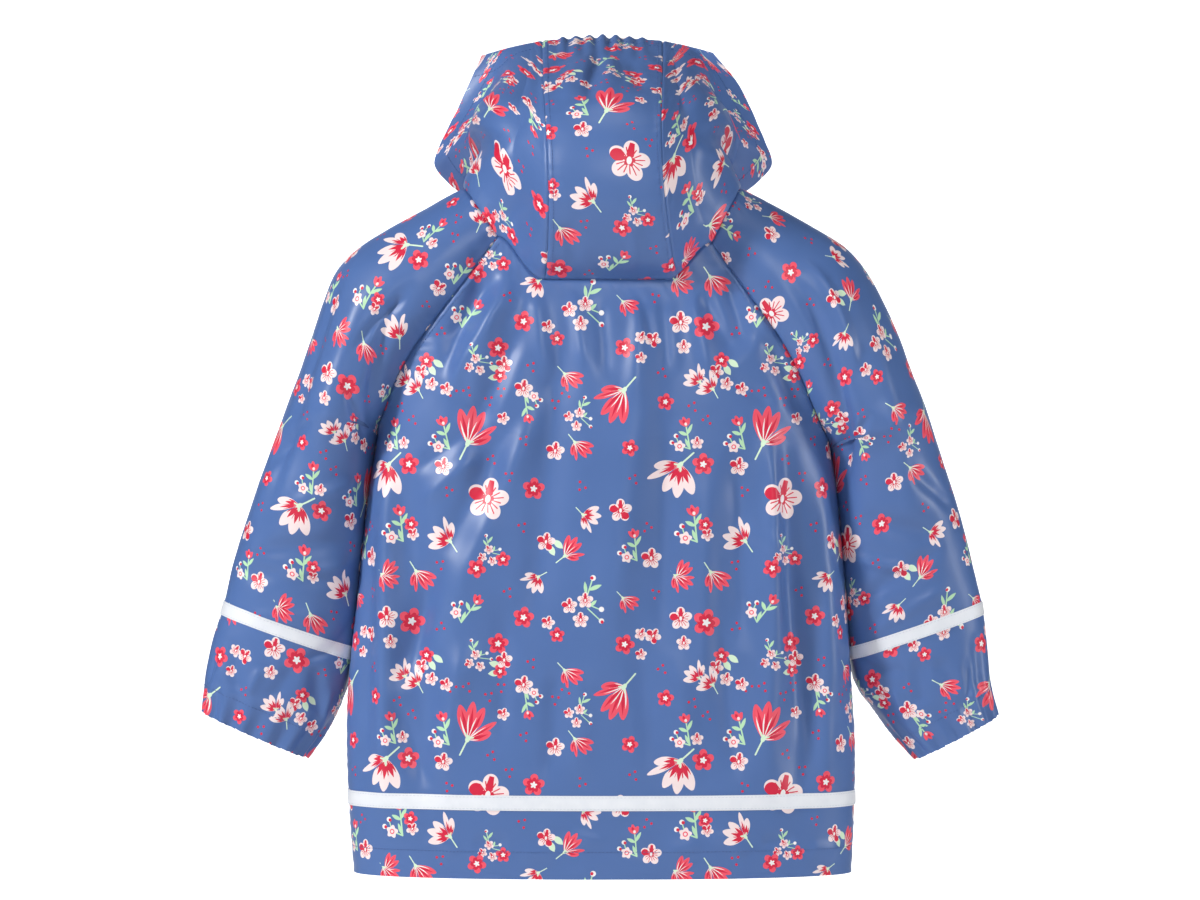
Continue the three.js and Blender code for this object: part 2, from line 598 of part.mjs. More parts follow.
// Places in the hollow of the body, hood and arm, which tell a panel's inner face from its outer one.
const insideBody = new THREE.Vector3(0, 0, 300);
const insideHood = new THREE.Vector3(0, 10, 600);
const INSIDE_ARM = { out: 255, back: -8, height: 250 };
const HOOD_SEAM_SHARE = { left: HOOD_SEAM_LEFT, right: HOOD_SEAM_RIGHT };

const back = new Panel(backPoint, [0, 0.5], insideBody);
const hoodCentre = new Panel(hoodCentrePoint, [0, 0.5], insideHood);
for (const side of Object.values(sides)) {
  const insideArm = new THREE.Vector3(side.sign * INSIDE_ARM.out, INSIDE_ARM.back, INSIDE_ARM.height);
  side.front = new Panel((u, v) => frontPoint(side, u, v), [0.4, 0.5], insideBody);
  side.sleeve = new Panel((u, v) => sleevePoint(side, u, v), [0.25, 12], insideArm);
  side.hoodSide = new Panel((u, v) => hoodSidePoint(side, u, v), [1.3, 0.5], insideHood);
}

const EDGE = 1e-6;
const isNear = (value, target) => Math.abs(value - target) < EDGE;

// The neckline pieces below a place of the hood, and the hood above a place of the body.
function hoodOverBack(u) {
  if (u > HOOD_SEAM_SHARE.left) {
    return sides.left.hoodSide.inward((u - HOOD_SEAM_SHARE.left) / (1 - HOOD_SEAM_SHARE.left), 0);
  }
  if (u < HOOD_SEAM_SHARE.right) {
    return sides.right.hoodSide.inward((u - HOOD_SEAM_SHARE.right) / (-1 - HOOD_SEAM_SHARE.right), 0);
  }
  const share = (u - HOOD_SEAM_SHARE.right) / (HOOD_SEAM_SHARE.left - HOOD_SEAM_SHARE.right);
  return hoodCentre.inward(2 * share - 1, 0);
}

function bodyUnderHood(name, place) {
  const side = sides[name];
  if (place < 1) {
    return back.inward(lerp(HOOD_SEAM_SHARE[name], side.sign, place), 2);
  }
  if (place < 2) {
    return side.sleeve.inward(place - 1, 0);
  }
  return side.front.inward((place - 2) * HOOD_FRONT_END, 2);
}

back.sew((u, v) => isNear(v, 2), true, [0, -1], (u) => hoodOverBack(u));
hoodCentre.sew((u, v) => isNear(v, 0), true, [0, 1], (u) => {
  const share = (u + 1) / 2;
  return back.inward(lerp(HOOD_SEAM_RIGHT, HOOD_SEAM_LEFT, share), 2);
});
for (const [name, side] of Object.entries(sides)) {
  const stationOf = (v) => RAGLAN_STEPS * (2 - v);
  const rowOf = (station) => 2 - station / RAGLAN_STEPS;
  back.sew((u, v) => isNear(u, side.sign), false, [-side.sign, 0], (u, v) => (
    v > 1 ? side.sleeve.inward(0, stationOf(v)) : side.front.inward(0, v)
  ));
  side.front.sew((u, v) => isNear(u, 0), false, [1, 0], (u, v) => (
    v > 1 ? side.sleeve.inward(1, stationOf(v)) : back.inward(side.sign, v)
  ));
  side.front.sew((u, v) => isNear(v, 2) && u < HOOD_FRONT_END + EDGE, true, [0, -1], (u) => (
    side.hoodSide.inward(2 + u / HOOD_FRONT_END, 0)
  ));
  side.sleeve.sew((u) => isNear(u, 0), false, [1, 0], (u, v) => (
    v < RAGLAN_STEPS ? back.inward(side.sign, rowOf(v)) : side.sleeve.inward(1, v)
  ));
  side.sleeve.sew((u) => isNear(u, 1), false, [-1, 0], (u, v) => (
    v < RAGLAN_STEPS ? side.front.inward(0, rowOf(v)) : side.sleeve.inward(0, v)
  ));
  side.sleeve.sew((u, v) => isNear(v, 0), true, [0, 1], (u) => side.hoodSide.inward(1 + u, 0));
  side.hoodSide.sew((u, v) => isNear(v, 0), true, [0, 1], (u) => bodyUnderHood(name, u));
  side.hoodSide.sew((u) => isNear(u, 0), false, [1, 0], (u, v) => hoodCentre.inward(side.sign, v));
  hoodCentre.sew((u) => isNear(u, side.sign), false, [-side.sign, 0], (u, v) => side.hoodSide.inward(0, v));
}

// Where three or more pieces meet, they share one inward vector.
const junctions = [];

function addJunction(place, vectors) {
  const inward = new THREE.Vector3();
  vectors.forEach((vector) => inward.add(vector));
  junctions.push({ place, inward: inward.normalize() });
}

for (const [name, side] of Object.entries(sides)) {
  const seamShare = HOOD_SEAM_SHARE[name];
  addJunction(back.point(side.sign, 2), [
    back.inward(side.sign, 2), side.sleeve.inward(0, 0), side.hoodSide.inward(1, 0),
  ]);
  addJunction(side.front.point(0, 2), [
    side.front.inward(0, 2), side.sleeve.inward(1, 0), side.hoodSide.inward(2, 0),
  ]);
  addJunction(back.point(seamShare, 2), [
    back.inward(seamShare, 2), side.hoodSide.inward(0, 0), hoodCentre.inward(side.sign, 0),
  ]);
  addJunction(back.point(side.sign, 1), [new THREE.Vector3(0, 0, 1)]);
}

const JUNCTION_REACH = 0.05;
const LEAST_MITRE = 0.62;
const STEP_FROM_SEAM = 0.01;

// The outer and inner points of a panel's wall at one place, stood back from any seam there.
function wallPoints(panel, u, v) {
  const outer = panel.point(u, v);
  const own = panel.inward(u, v);
  const met = panel.seams.filter((seam) => seam.holds(u, v));
  const junction = junctions.find(({ place }) => place.distanceTo(outer) < JUNCTION_REACH);
  const inward = own.clone();
  met.forEach((seam) => inward.add(seam.neighbour(u, v)));
  inward.normalize();
  if (junction) {
    inward.copy(junction.inward);
  }
  const shift = new THREE.Vector3();
  for (const seam of met) {
    const [du, dv] = seam.alongU ? [SMALL_STEP, 0] : [0, SMALL_STEP];
    const aside = difference(panel.point, u, v, du, dv).cross(inward).normalize();
    const [towardU, towardV] = seam.toward;
    const within = panel.point(u + STEP_FROM_SEAM * towardU, v + STEP_FROM_SEAM * towardV);
    const away = Math.sign(aside.dot(within.sub(outer)));
    shift.addScaledVector(aside, away * SEAM_GAP / 2);
  }
  const mitre = junction || met.length === 0 ? 1 : Math.max(LEAST_MITRE, own.dot(inward));
  outer.add(shift);
  return { outer, inward, inner: outer.clone().addScaledVector(inward, WALL / mitre), at: u };
}

// Solids

// Triangles between two rows of places, which may have different numbers of them.
function stripTriangles(first, second, firstIndex, secondIndex) {
  const triangles = [];
  let i = 0;
  let j = 0;
  while (i < first.length - 1 || j < second.length - 1) {
    const nextFirst = i < first.length - 1 ? first[i + 1].at : Infinity;
    const nextSecond = j < second.length - 1 ? second[j + 1].at : Infinity;
    if (nextFirst <= nextSecond + EDGE) {
      triangles.push([firstIndex + i, firstIndex + i + 1, secondIndex + j]);
      i += 1;
    } else {
      triangles.push([firstIndex + i, secondIndex + j + 1, secondIndex + j]);
      j += 1;
    }
  }
  return triangles;
}

function signedVolume(points, triangles) {
  let total = 0;
  for (const [a, b, c] of triangles) {
    total += points[a].dot(points[b].clone().cross(points[c]));
  }
  return total / 6;
}

// A closed wall from rows of outer and inner places.
function wallGeometry(rows) {
  const starts = [];
  const points = [];
  for (const row of rows) {
    starts.push(points.length);
    points.push(...row.map((place) => place.outer));
  }
  const inside = points.length;
  rows.forEach((row) => points.push(...row.map((place) => place.inner)));
  const triangles = [];
  for (let k = 0; k < rows.length - 1; k += 1) {
    for (const [a, b, c] of stripTriangles(rows[k], rows[k + 1], starts[k], starts[k + 1])) {
      triangles.push([a, b, c], [a + inside, c + inside, b + inside]);
    }
  }
  const rim = [];
  const lastRow = rows.length - 1;
  rows[0].forEach((_, i) => rim.push(i));
  for (let k = 1; k < rows.length; k += 1) {
    rim.push(starts[k] + rows[k].length - 1);
  }
  for (let i = rows[lastRow].length - 2; i >= 0; i -= 1) {
    rim.push(starts[lastRow] + i);
  }
  for (let k = lastRow - 1; k > 0; k -= 1) {
    rim.push(starts[k]);
  }
  rim.forEach((a, i) => {
    const b = rim[(i + 1) % rim.length];
    triangles.push([b, a, a + inside], [b, a + inside, b + inside]);
  });
  if (signedVolume(points, triangles) < 0) {
    triangles.forEach((triangle) => triangle.reverse());
  }
  const geometry = new THREE.BufferGeometry();
  const position = points.flatMap((point) => point.toArray());
  geometry.setAttribute('position', new THREE.Float32BufferAttribute(position, 3));
  geometry.setIndex(triangles.flat());
  return geometry;
}

function panelGeometry(panel, rows) {
  return wallGeometry(rows.map(({ v, columns }) => columns.map((u) => wallPoints(panel, u, v))));
}

// A strip that lies on a panel, moved out from the panel's own points.
function tapeGeometry(panel, low, high, columns) {
  const rows = [low, high].map((v) => columns.map((u) => {
    const { outer, inward } = wallPoints(panel, u, v);
    return {
      outer: outer.clone().addScaledVector(inward, -SEAM_GAP - TAPE_WALL),
      inner: outer.clone().addScaledVector(inward, -SEAM_GAP),
      at: u,
    };
  }));
  return wallGeometry(rows);
}

function steps(from, to, count) {
  return Array.from({ length: count + 1 }, (_, i) => lerp(from, to, i / count));
}

function joined(...stretches) {
  return stretches.flatMap((stretch, i) => (i === 0 ? stretch : stretch.slice(1)));
}

const cloth = { color: CLOTH_BLUE, roughness: 0.42, metalness: 0 };
const tape = { color: TAPE_WHITE, roughness: 0.35, metalness: 0.1 };
const metal = { color: STUD_METAL, roughness: 0.35, metalness: 0.9 };

const jacket = new THREE.Group();
jacket.position.z = -ORIGIN_HEIGHT;

function addPiece(name, geometry, look) {
  const mesh = new THREE.Mesh(geometry, new THREE.MeshStandardMaterial(look));
  mesh.name = name;
  geometry.computeVertexNormals();
  jacket.add(mesh);
  return mesh;
}

const tapeLow = (BODY_TAPE_HEIGHT - TAPE_WIDTH / 2) / UNDERARM_HEIGHT;
const tapeHigh = (BODY_TAPE_HEIGHT + TAPE_WIDTH / 2) / UNDERARM_HEIGHT;
const hemRow = HEM_TURN_UP / UNDERARM_HEIGHT;
const bodyRows = joined(
  [0, hemRow, tapeLow, tapeHigh],
  steps(tapeHigh, 1, ROWS_TO_UNDERARM),
  steps(1, 2, RAGLAN_STEPS),
);
const backColumns = joined(
  steps(-1, HOOD_SEAM_RIGHT, COLUMNS.backSide),
  steps(HOOD_SEAM_RIGHT, HOOD_SEAM_LEFT, COLUMNS.backMiddle),
  steps(HOOD_SEAM_LEFT, 1, COLUMNS.backSide),
);
const frontColumns = joined(
  steps(0, HOOD_FRONT_END, COLUMNS.front),
  steps(HOOD_FRONT_END, 1, COLUMNS.lap),
);

addPiece('back', panelGeometry(back, bodyRows.map((v) => ({ v, columns: backColumns }))), cloth);
addPiece('tape_back', tapeGeometry(back, tapeLow, tapeHigh, backColumns), tape);

const sleeveColumns = steps(0, 1, COLUMNS.sleeve);
const cuffColumns = steps(0, 1, COLUMNS.perGather * CUFF_GATHERS);
const halfTape = TAPE_WIDTH / 2 / SLEEVE_STATION_LENGTH;
const tapeStations = [SLEEVE_TAPE_STATION - halfTape, SLEEVE_TAPE_STATION + halfTape];
const upperStations = steps(0, PLAIN_SLEEVE_ROWS, PLAIN_SLEEVE_ROWS);
const armStations = [...upperStations, ...tapeStations, STATION_BELOW_TAPE];
const sleeveRows = [
  ...armStations.map((v) => ({ v, columns: sleeveColumns })),
  ...CUFF_STATIONS.map((v) => ({ v, columns: cuffColumns })),
];

// Rows of the hood rise from the neckline to the face edge at the top.
const HOOD_ROWS = [0, 0.1, 0.2, 0.3, 0.4, 0.5, 0.6, 0.7, 0.79, 0.86, 0.93, 1];
const hoodNeckColumns = joined(
  steps(0, 1, COLUMNS.backSide),
  steps(1, 2, COLUMNS.sleeve),
  steps(2, 3, COLUMNS.front),
);
const hoodSideColumns = steps(0, 1, COLUMNS.hoodSide).map(neckPlace);
const hoodSideRows = HOOD_ROWS.map((v, i) => ({
  v,
  columns: i === 0 ? hoodNeckColumns : hoodSideColumns,
}));
const hoodCentreRows = HOOD_ROWS.map((v, i) => {
  const upper = v > HOOD_GATHER_START ? COLUMNS.perGather * HOOD_GATHERS : COLUMNS.hoodCentre;
  return { v, columns: steps(-1, 1, i === 0 ? COLUMNS.backMiddle : upper) };
});

for (const [name, side] of Object.entries(sides)) {
  const frontRows = bodyRows.map((v) => ({ v, columns: frontColumns }));
  addPiece(`front_${name}`, panelGeometry(side.front, frontRows), cloth);
  addPiece(`tape_front_${name}`, tapeGeometry(side.front, tapeLow, tapeHigh, frontColumns), tape);
  addPiece(`sleeve_${name}`, panelGeometry(side.sleeve, sleeveRows), cloth);
  addPiece(`tape_sleeve_${name}`, tapeGeometry(side.sleeve, ...tapeStations, sleeveColumns), tape);
  addPiece(`hood_side_${name}`, panelGeometry(side.hoodSide, hoodSideRows), cloth);
}

addPiece('hood_centre', panelGeometry(hoodCentre, hoodCentreRows), cloth);

// A press-stud cap: a shallow dome, with its face toward +Y before it is turned.
function studGeometry() {
  const profile = [
    new THREE.Vector2(0, 0),
    new THREE.Vector2(STUD_BASE_RADIUS, 0),
    new THREE.Vector2(STUD_RADIUS, STUD_RIM_HEIGHT),
    new THREE.Vector2(STUD_DOME.radius, STUD_DOME.height),
    new THREE.Vector2(0, STUD_THICKNESS),
  ];
  return new THREE.LatheGeometry(profile, STUD_SEGMENTS);
}

const CENTRE_SEARCH_STEPS = 40;

// The place of the upper front that lies on the centre line, in a row of the body.
function centreFrontPlace(row) {
  let low = 0;
  let high = 1;
  for (let i = 0; i < CENTRE_SEARCH_STEPS; i += 1) {
    const middle = (low + high) / 2;
    if (sides.right.front.point(middle, row).x < 0) {
      low = middle;
    } else {
      high = middle;
    }
  }
  return wallPoints(sides.right.front, low, row);
}

for (let i = 0; i < STUD_COUNT; i += 1) {
  const height = STUD_FIRST_HEIGHT + i * STUD_PITCH;
  const above = (height - UNDERARM_HEIGHT) / (NECK_FRONT_HEIGHT - UNDERARM_HEIGHT);
  const row = above > 0 ? 1 + above : height / UNDERARM_HEIGHT;
  const seat = centreFrontPlace(row);
  const stud = addPiece(`stud_${i + 1}`, studGeometry(), metal);
  stud.position.copy(seat.outer).addScaledVector(seat.inward, -SEAM_GAP);
  stud.quaternion.setFromUnitVectors(new THREE.Vector3(0, 1, 0), seat.inward.clone().negate());
}

export default jacket;
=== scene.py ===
"""A child's hooded rain jacket of satin coated cloth with a small flower print, filled out as if worn."""
import math
from functools import partial, reduce

import bpy
import numpy as np
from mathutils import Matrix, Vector


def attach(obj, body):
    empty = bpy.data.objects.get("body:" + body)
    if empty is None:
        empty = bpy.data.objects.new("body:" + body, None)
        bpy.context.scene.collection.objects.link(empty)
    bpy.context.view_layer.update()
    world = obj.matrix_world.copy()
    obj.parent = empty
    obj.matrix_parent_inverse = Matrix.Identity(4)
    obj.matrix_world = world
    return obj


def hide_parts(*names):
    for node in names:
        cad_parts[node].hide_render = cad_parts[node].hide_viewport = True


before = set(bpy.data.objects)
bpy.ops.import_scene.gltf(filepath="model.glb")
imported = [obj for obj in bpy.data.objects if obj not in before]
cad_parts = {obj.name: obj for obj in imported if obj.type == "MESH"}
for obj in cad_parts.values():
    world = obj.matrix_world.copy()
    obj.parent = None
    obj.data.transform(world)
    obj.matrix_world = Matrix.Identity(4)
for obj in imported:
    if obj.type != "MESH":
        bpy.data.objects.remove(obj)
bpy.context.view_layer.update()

# Sizes are in millimetres, with heights above the hem, until a mesh is made in metres.
# The wearer's left is +X and the back is +Y, which is the side the camera sees.
MM = 0.001
ORIGIN_HEIGHT = 530
WALL = 1.2
STAND_BACK = 0.12
BODY_ROUNDNESS = 2.3
RAGLAN_STEPS = 9
SLEEVE_END = 18
UNDERARM_HEIGHT = 363

LAP_REACH = 20
LAP_FADE = 26
LAP_LIFT = 1.6
NECK_BACK_HEIGHT = 494
NECK_FRONT_HEIGHT = 486
NECK_BACK_FLAT = 0.5
NECK_FRONT_FLAT = 0.2

TAPE_WIDTH = 12.5
TAPE_WALL = 0.5
TAPE_GAP = 0.25
TAPE_CROWN = 0.22
TAPE_ROWS = 7
TAPE_STITCH_SHARE = 0.12
BODY_TAPE_HEIGHT = 63
SLEEVE_TAPE_STATION = 14
SLEEVE_STATION_LENGTH = 37
SLEEVE_GIRTH = 330

# Below the raglan seams the faces of the arms are a little flatter than an oval's.
ARM_FLATNESS = 0.72

CUFF_GATHERS = 14
CUFF_GATHER_DEPTH = 2.1
CUFF_GATHER_START = 15.6
HOOD_GATHERS = 9
HOOD_GATHER_DEPTH = 1.6
HOOD_GATHER_START = 0.8

HOOD_TOP_HEIGHT = 708
HOOD_TOP_BACK = -68
HOOD_TOP_DROP = 16
HOOD_TOP_DROP_REACH = 101
HOOD_CROWN = 7
HOOD_SIDE_TUCK = 17
HOOD_SIDE_PRESS = 20
HOOD_SIDE_DROP = 12
HOOD_SHOULDER_BULGE = 12
HOOD_SHOULDER_LIFT = 12
HUMP_SCALE = 6.75
HOOD_SEAM_LEFT = 0.49
HOOD_SEAM_RIGHT = -0.61
HOOD_FRONT_END = 0.66
HOOD_NECK_SHARES = (0, 0.2, 0.73, 1)

FRONT_SEAM_IN = 16
FRONT_SEAM_DROP = 6

STUD_COUNT = 5
STUD_FIRST_HEIGHT = 95
STUD_PITCH = 86

# The panels' lengths, and how finely the cloth is divided along them and, at these distances, beside a seam.
BACK_WIDTH = 470
FRONT_WIDTH = 265
RAGLAN_LENGTH = 215
LOWER_ARM_LENGTH = 265
HOOD_SIDE_WIDTH = 300
HOOD_SIDE_LENGTH = 220
HOOD_CENTRE_WIDTH = 104
HOOD_CENTRE_LENGTH = 330
CLOTH_PITCH = 2.7
FINE_PITCH = 2.4
FINEST_PITCH = 1.6
SEAM_PLACES = (0.5, 1.0, 1.6, 2.4, 3.4)

# Half widths to the wearer's left and right, and depths to the back and front, of the body.
BODY_COLUMNS = "height left right back front"
BODY = [
    (0, 208, 209, 72, 74),
    (55, 212, 211.5, 75, 77),
    (110, 214, 212, 76, 79),
    (160, 212.5, 209, 76, 80),
    (228, 205.5, 205, 77, 81),
    (317, 196, 197, 79, 81),
    (370, 188, 190, 80, 79),
    (440, 186, 189, 76, 70),
    (494, 184, 186, 65, 60),
    (540, 178, 180, 56, 52),
]

# Stations of each sleeve from the neck to the cuff edge: its outline, its back seam or the inside of the arm,
# and the middle and half of its depth.
LEFT_SLEEVE_COLUMNS = "station outer outer_height inner inner_height middle depth"
LEFT_SLEEVE = [
    (0, 116, 573, 86, 530, 2, 53),
    (1, 132, 565, 99, 513, 2, 58),
    (2, 153, 553, 113, 494, 2, 62),
    (3, 179, 539, 128, 475, 1, 65),
    (4, 206, 521.5, 141, 458, 1, 67),
    (5, 223.5, 502, 153, 442, 0, 68),
    (6, 234, 477, 164, 425, 0, 68),
    (7, 244, 447, 173, 408, -1, 67),
    (8, 253, 421, 180.5, 389, -1, 66),
    (9, 262, 397, 188.5, 370, -2, 64),
    (10, 275, 364, 192.8, 338, -13, 60),
    (11, 289, 325, 198.4, 298, -13, 56),
    (12, 301, 290, 201.8, 258, -17, 52),
    (13, 311, 258, 204.9, 222, -19, 48),
    (14, 320, 221, 209.4, 182, -21, 44),
    (15, 329, 192, 215, 155, -21, 41),
    (16, 334, 167, 223, 134, -19, 37),
    (17, 335, 150, 233, 117, -18, 32),
    (18, 336, 133, 249, 95, -17, 27),
]
RIGHT_SLEEVE = [
    (0, 116, 573, 91, 525, 2, 53),
    (1, 132, 565, 104, 506, 2, 58),
    (2, 153, 554, 118, 487, 2, 62),
    (3, 178, 540, 131, 469, 1, 65),
    (4, 204, 523.5, 143, 452, 1, 67),
    (5, 222, 503, 154, 435, 0, 68),
    (6, 237, 476, 164, 416, 0, 68),
    (7, 250, 447, 172, 397, -1, 67),
    (8, 262, 414, 181, 377, -1, 66),
    (9, 273, 386, 191.5, 356, -2, 64),
    (10, 284, 354, 195, 325, -13, 60),
    (11, 295, 320, 199.4, 287, -13, 56),
    (12, 305, 287, 201.9, 252, -17, 52),
    (13, 313, 255, 204.4, 219, -19, 48),
    (14, 321, 221, 208, 182, -21, 44),
    (15, 325, 190, 215, 155, -21, 41),
    (16, 327, 164, 230, 134, -19, 37),
    (17, 329, 147, 245, 115, -18, 32),
    (18, 333, 130, 265, 94, -17, 27),
]

# The seams of the hood's centre strip and the face edge, from the neck up.
HOOD_COLUMNS = "share left right back height"
HOOD_SEAMS = [
    (0.14, 45, 58, 84, 514),
    (0.3, 44, 52, 106, 556),
    (0.45, 45, 49, 106, 596),
    (0.58, 47, 49, 88, 628),
    (0.71, 49, 50, 50, 654),
    (0.83, 50, 51, 2, 675),
    (0.93, 51, 52, -42, 694),
]
FACE_EDGE = [
    (0.12, 22, 22, -78, 514),
    (0.27, 58, 58, -92, 546),
    (0.43, 118, 118, -89, 573),
    (0.53, 137, 138, -83, 588),
    (0.6, 144, 146, -76, 601),
    (0.74, 131, 134, -71, 629),
    (0.9, 114, 117, -68, 667),
]

# Folds: from a place to another, with a width and a rise. The body's and the hood's places are
# how far they are to the left and how high, and a sleeve's are the share round it and the station.
BACK_FOLDS = [
    (2, 470, 0, 95, 24, 4),
    (111, 412, 86, 295, 15, -5),
    (66, 490, 124, 418, 10, 4),
    (88, 498, 134, 440, 8, -4),
    (178, 360, 184, 60, 9, 3.5),
    (162, 335, 146, 60, 15, -7),
    (112, 270, 118, 150, 18, 3),
    (-141, 370, -138, 90, 9, 4.5),
    (-154, 290, -166, 50, 14, -6.5),
    (-184, 250, -188, 70, 8, 3),
    (-96, 310, -104, 90, 20, -3.5),
    (-80, 484, -112, 430, 9, -4.5),
    (-32, 482, -25, 390, 8, 2.4),
    (-53, 484, -56, 420, 7, -2.6),
    (-39, 480, -8, 194, 16.8, 7.2),
    (35, 463, 59, 194, 16.8, -6.4),
    (111, 396, 73, 507, 8.4, 5.2),
    (131, 419, 97, 503, 7.6, -5.2),
    (104, 370, 69, 454, 9.2, -4.6),
    (86, 480, 126, 399, 6.7, 3.4),
    (69, 391, 136, 261, 11.8, -4.5),
    (136, 261, 171, 160, 10.9, -6.4),
    (48, 396, 118, 236, 10.1, 3.5),
    (176, 358, 179, 60, 6.7, 2.9),
    (193, 295, 197, 76, 5.9, -2.3),
    (-145, 442, -120, 512, 9.2, 5.2),
    (-120, 438, -101, 500, 8.4, -5.2),
    (-166, 379, -133, 454, 8.4, -4),
    (-89, 412, -74, 488, 7.6, 3.4),
    (-136, 370, -151, 144, 7.6, 4.6),
    (-151, 362, -173, 93, 8.4, -5.2),
    (-180, 337, -197, 127, 8.4, 4),
    (-112, 354, -118, 194, 10.1, -4.8),
    (-87, 337, -82, 144, 10.9, 4.2),
    (-55, 379, -50, 194, 10.1, -3.8),
    (16, 177, 20, 85, 9.2, 3),
    (39, 177, 45, 76, 8.4, -2.8),
    (-32, 194, -42, 85, 9.2, -2.8),
    (-62, 186, -74, 85, 8.4, 2.8),
    (111, 194, 136, 85, 10.9, 4.8),
    (81, 228, 86, 110, 10.1, -3.8),
    (-101, 194, -112, 85, 8.4, -3),
    (2, 480, -3, 412, 6.7, -3),
    (23, 483, 15, 421, 5.9, 2.5),
    (-55, 480, -59, 419, 5.9, 2.8),
    (-32, 483, -42, 438, 5, -2.3),
    (56, 488, 45, 412, 7.6, 3.4),
    (153, 337, 111, 370, 7.6, -3),
    (149, 312, 102, 349, 6.7, 2.5),
    (-141, 391, -99, 419, 6.7, -2.8),
    (-158, 261, -116, 295, 7.6, 2.1),
    (170, 144, 149, 76, 7.6, -3.4),
    (144, 38, 118, 21, 5, 1.8),
    (105, 30, 78, 30, 5.9, -2),
    (66, 23, 39, 21, 6.7, 1.6),
    (26, 38, -1, 30, 5, 1.8),
    (-13, 30, -40, 21, 5.9, -2),
    (-53, 23, -80, 30, 6.7, 1.6),
    (-92, 38, -119, 21, 5, 1.8),
    (-132, 30, -159, 30, 5.9, -2),
    (-171, 23, -198, 21, 6.7, 1.6),
]
FRONT_FOLDS = [
    (150, 350, 140, 50, 15, -6),
    (178, 345, 180, 70, 9, 3.5),
    (96, 400, 82, 120, 16, -4),
    (-144, 330, -152, 60, 14, -6),
    (-92, 390, -86, 90, 17, -4),
    (-118, 300, -120, 80, 10, 3),
    (120, 300, 112, 140, 7, 2.4),
    (-120, 420, -100, 330, 8, -2.4),
    (180, 345, 150, 318, 5, -2.9),
    (-182, 350, -150, 322, 5, -2.9),
    (60, 200, 52, 60, 8, -2.1),
    (-70, 180, -62, 50, 8, 2.1),
]
LEFT_SLEEVE_FOLDS = [
    (0.37, 5, 0.37, 12, 10, -3.5),
    (0.24, 4.4, 0.25, 11, 15, 3),
    (0.15, 3.6, 0.08, 8.6, 9, -5),
    (0.09, 11.4, 0.36, 12.5, 9, -4),
    (0.14, 12.5, 0.4, 13.1, 8, -3),
    (0.12, 16.2, 0.16, 14.6, 8, -3),
    (0.24, 16.2, 0.21, 14.8, 7, -2.6),
    (0.33, 16.4, 0.36, 14.7, 8, -3),
    (0.66, 11, 0.9, 12.2, 10, -4),
    (0.85, 4, 0.92, 8.4, 9, -5),
    (0.7, 16.2, 0.74, 14.6, 8, -3),
    (0.13, 4, 0.2, 6.6, 5, -3.2),
    (0.2, 7.6, 0.1, 9.6, 6, -3.2),
    (0.1, 10.3, 0.3, 11.2, 6, 3.2),
    (0.08, 12, 0.3, 12.9, 5, 2.9),
    (0.16, 13.4, 0.34, 13.9, 5, 2.3),
    (0.3, 9.4, 0.44, 10.6, 7, -3.2),
    (0.06, 13.4, 0.2, 14.6, 5, -2.7),
    (0.28, 15.2, 0.3, 16.4, 4, 2.3),
    (0.1, 15.2, 0.08, 16.6, 4, 2.3),
    (0.42, 15.2, 0.44, 16.6, 4, -2.3),
    (0.6, 5, 0.66, 9, 9, -4.3),
    (0.56, 12.4, 0.8, 13.2, 6, 2.7),
]
RIGHT_SLEEVE_FOLDS = [
    (0.16, 3.2, 0.09, 10.4, 10, -6),
    (0.3, 6.5, 0.27, 11.5, 14, 3),
    (0.12, 10.8, 0.33, 11.9, 9, -4),
    (0.1, 12.9, 0.34, 12.2, 8, -3),
    (0.2, 16.3, 0.24, 14.7, 7, -3),
    (0.31, 16.2, 0.28, 14.9, 7, -2.6),
    (0.39, 16.4, 0.4, 14.6, 8, -3),
    (0.64, 11.6, 0.88, 12.6, 10, -4),
    (0.84, 3.6, 0.92, 8, 9, -5),
    (0.74, 16.2, 0.7, 14.8, 8, -3),
    (0.24, 3.4, 0.2, 7, 6, 3.2),
    (0.2, 8.4, 0.08, 9.8, 6, -2.9),
    (0.08, 11.6, 0.3, 12.7, 5, 3.1),
    (0.3, 10.2, 0.42, 11.4, 7, -3.2),
    (0.14, 13.6, 0.34, 13.2, 5, 2.5),
    (0.06, 14, 0.2, 15, 5, -2.7),
    (0.16, 15.4, 0.14, 16.6, 4, 2.3),
    (0.36, 15.2, 0.34, 16.6, 4, -2.3),
    (0.6, 5, 0.66, 9, 9, -4.3),
    (0.56, 12.8, 0.8, 13.6, 6, 2.7),
]
HOOD_FOLDS = [
    (14, 684, 32, 640, 8, 3.5),
    (-8, 684, -4, 630, 8, 2.6),
    (2, 684, 12, 636, 6, -3),
    (-20, 684, -34, 646, 7, -3),
    (78, 636, 112, 592, 12, -4),
    (-74, 644, -116, 600, 13, -4),
    (26, 690, 50, 664, 5, -1.9),
    (-34, 690, -52, 668, 5, 1.8),
    (8, 690, 18, 650, 4, 1.6),
    (-12, 690, -18, 654, 4, -1.6),
    (88, 600, 116, 566, 8, 2.2),
    (-84, 612, -118, 574, 8, 2.2),
    (60, 560, 96, 530, 8, -2.2),
    (-66, 566, -100, 532, 8, -2.2),
    (120, 640, 134, 610, 7, 1.9),
    (-120, 646, -136, 614, 7, 1.8),
    (30, 540, 20, 500, 7, -1.7),
    (-24, 546, -30, 502, 7, 1.7),
]

# Curves and folds

def smooth(value, low, high):
    t = np.clip((value - low) / (high - low), 0, 1)
    return t * t * (3 - 2 * t)


def lerp(a, b, t):
    return a + (b - a) * t


def stacked(x, y, z):
    return np.stack(np.broadcast_arrays(x, y, z), -1).astype(float)


def unit(vectors):
    return vectors / np.maximum(np.linalg.norm(vectors, axis=-1, keepdims=True), 1e-12)


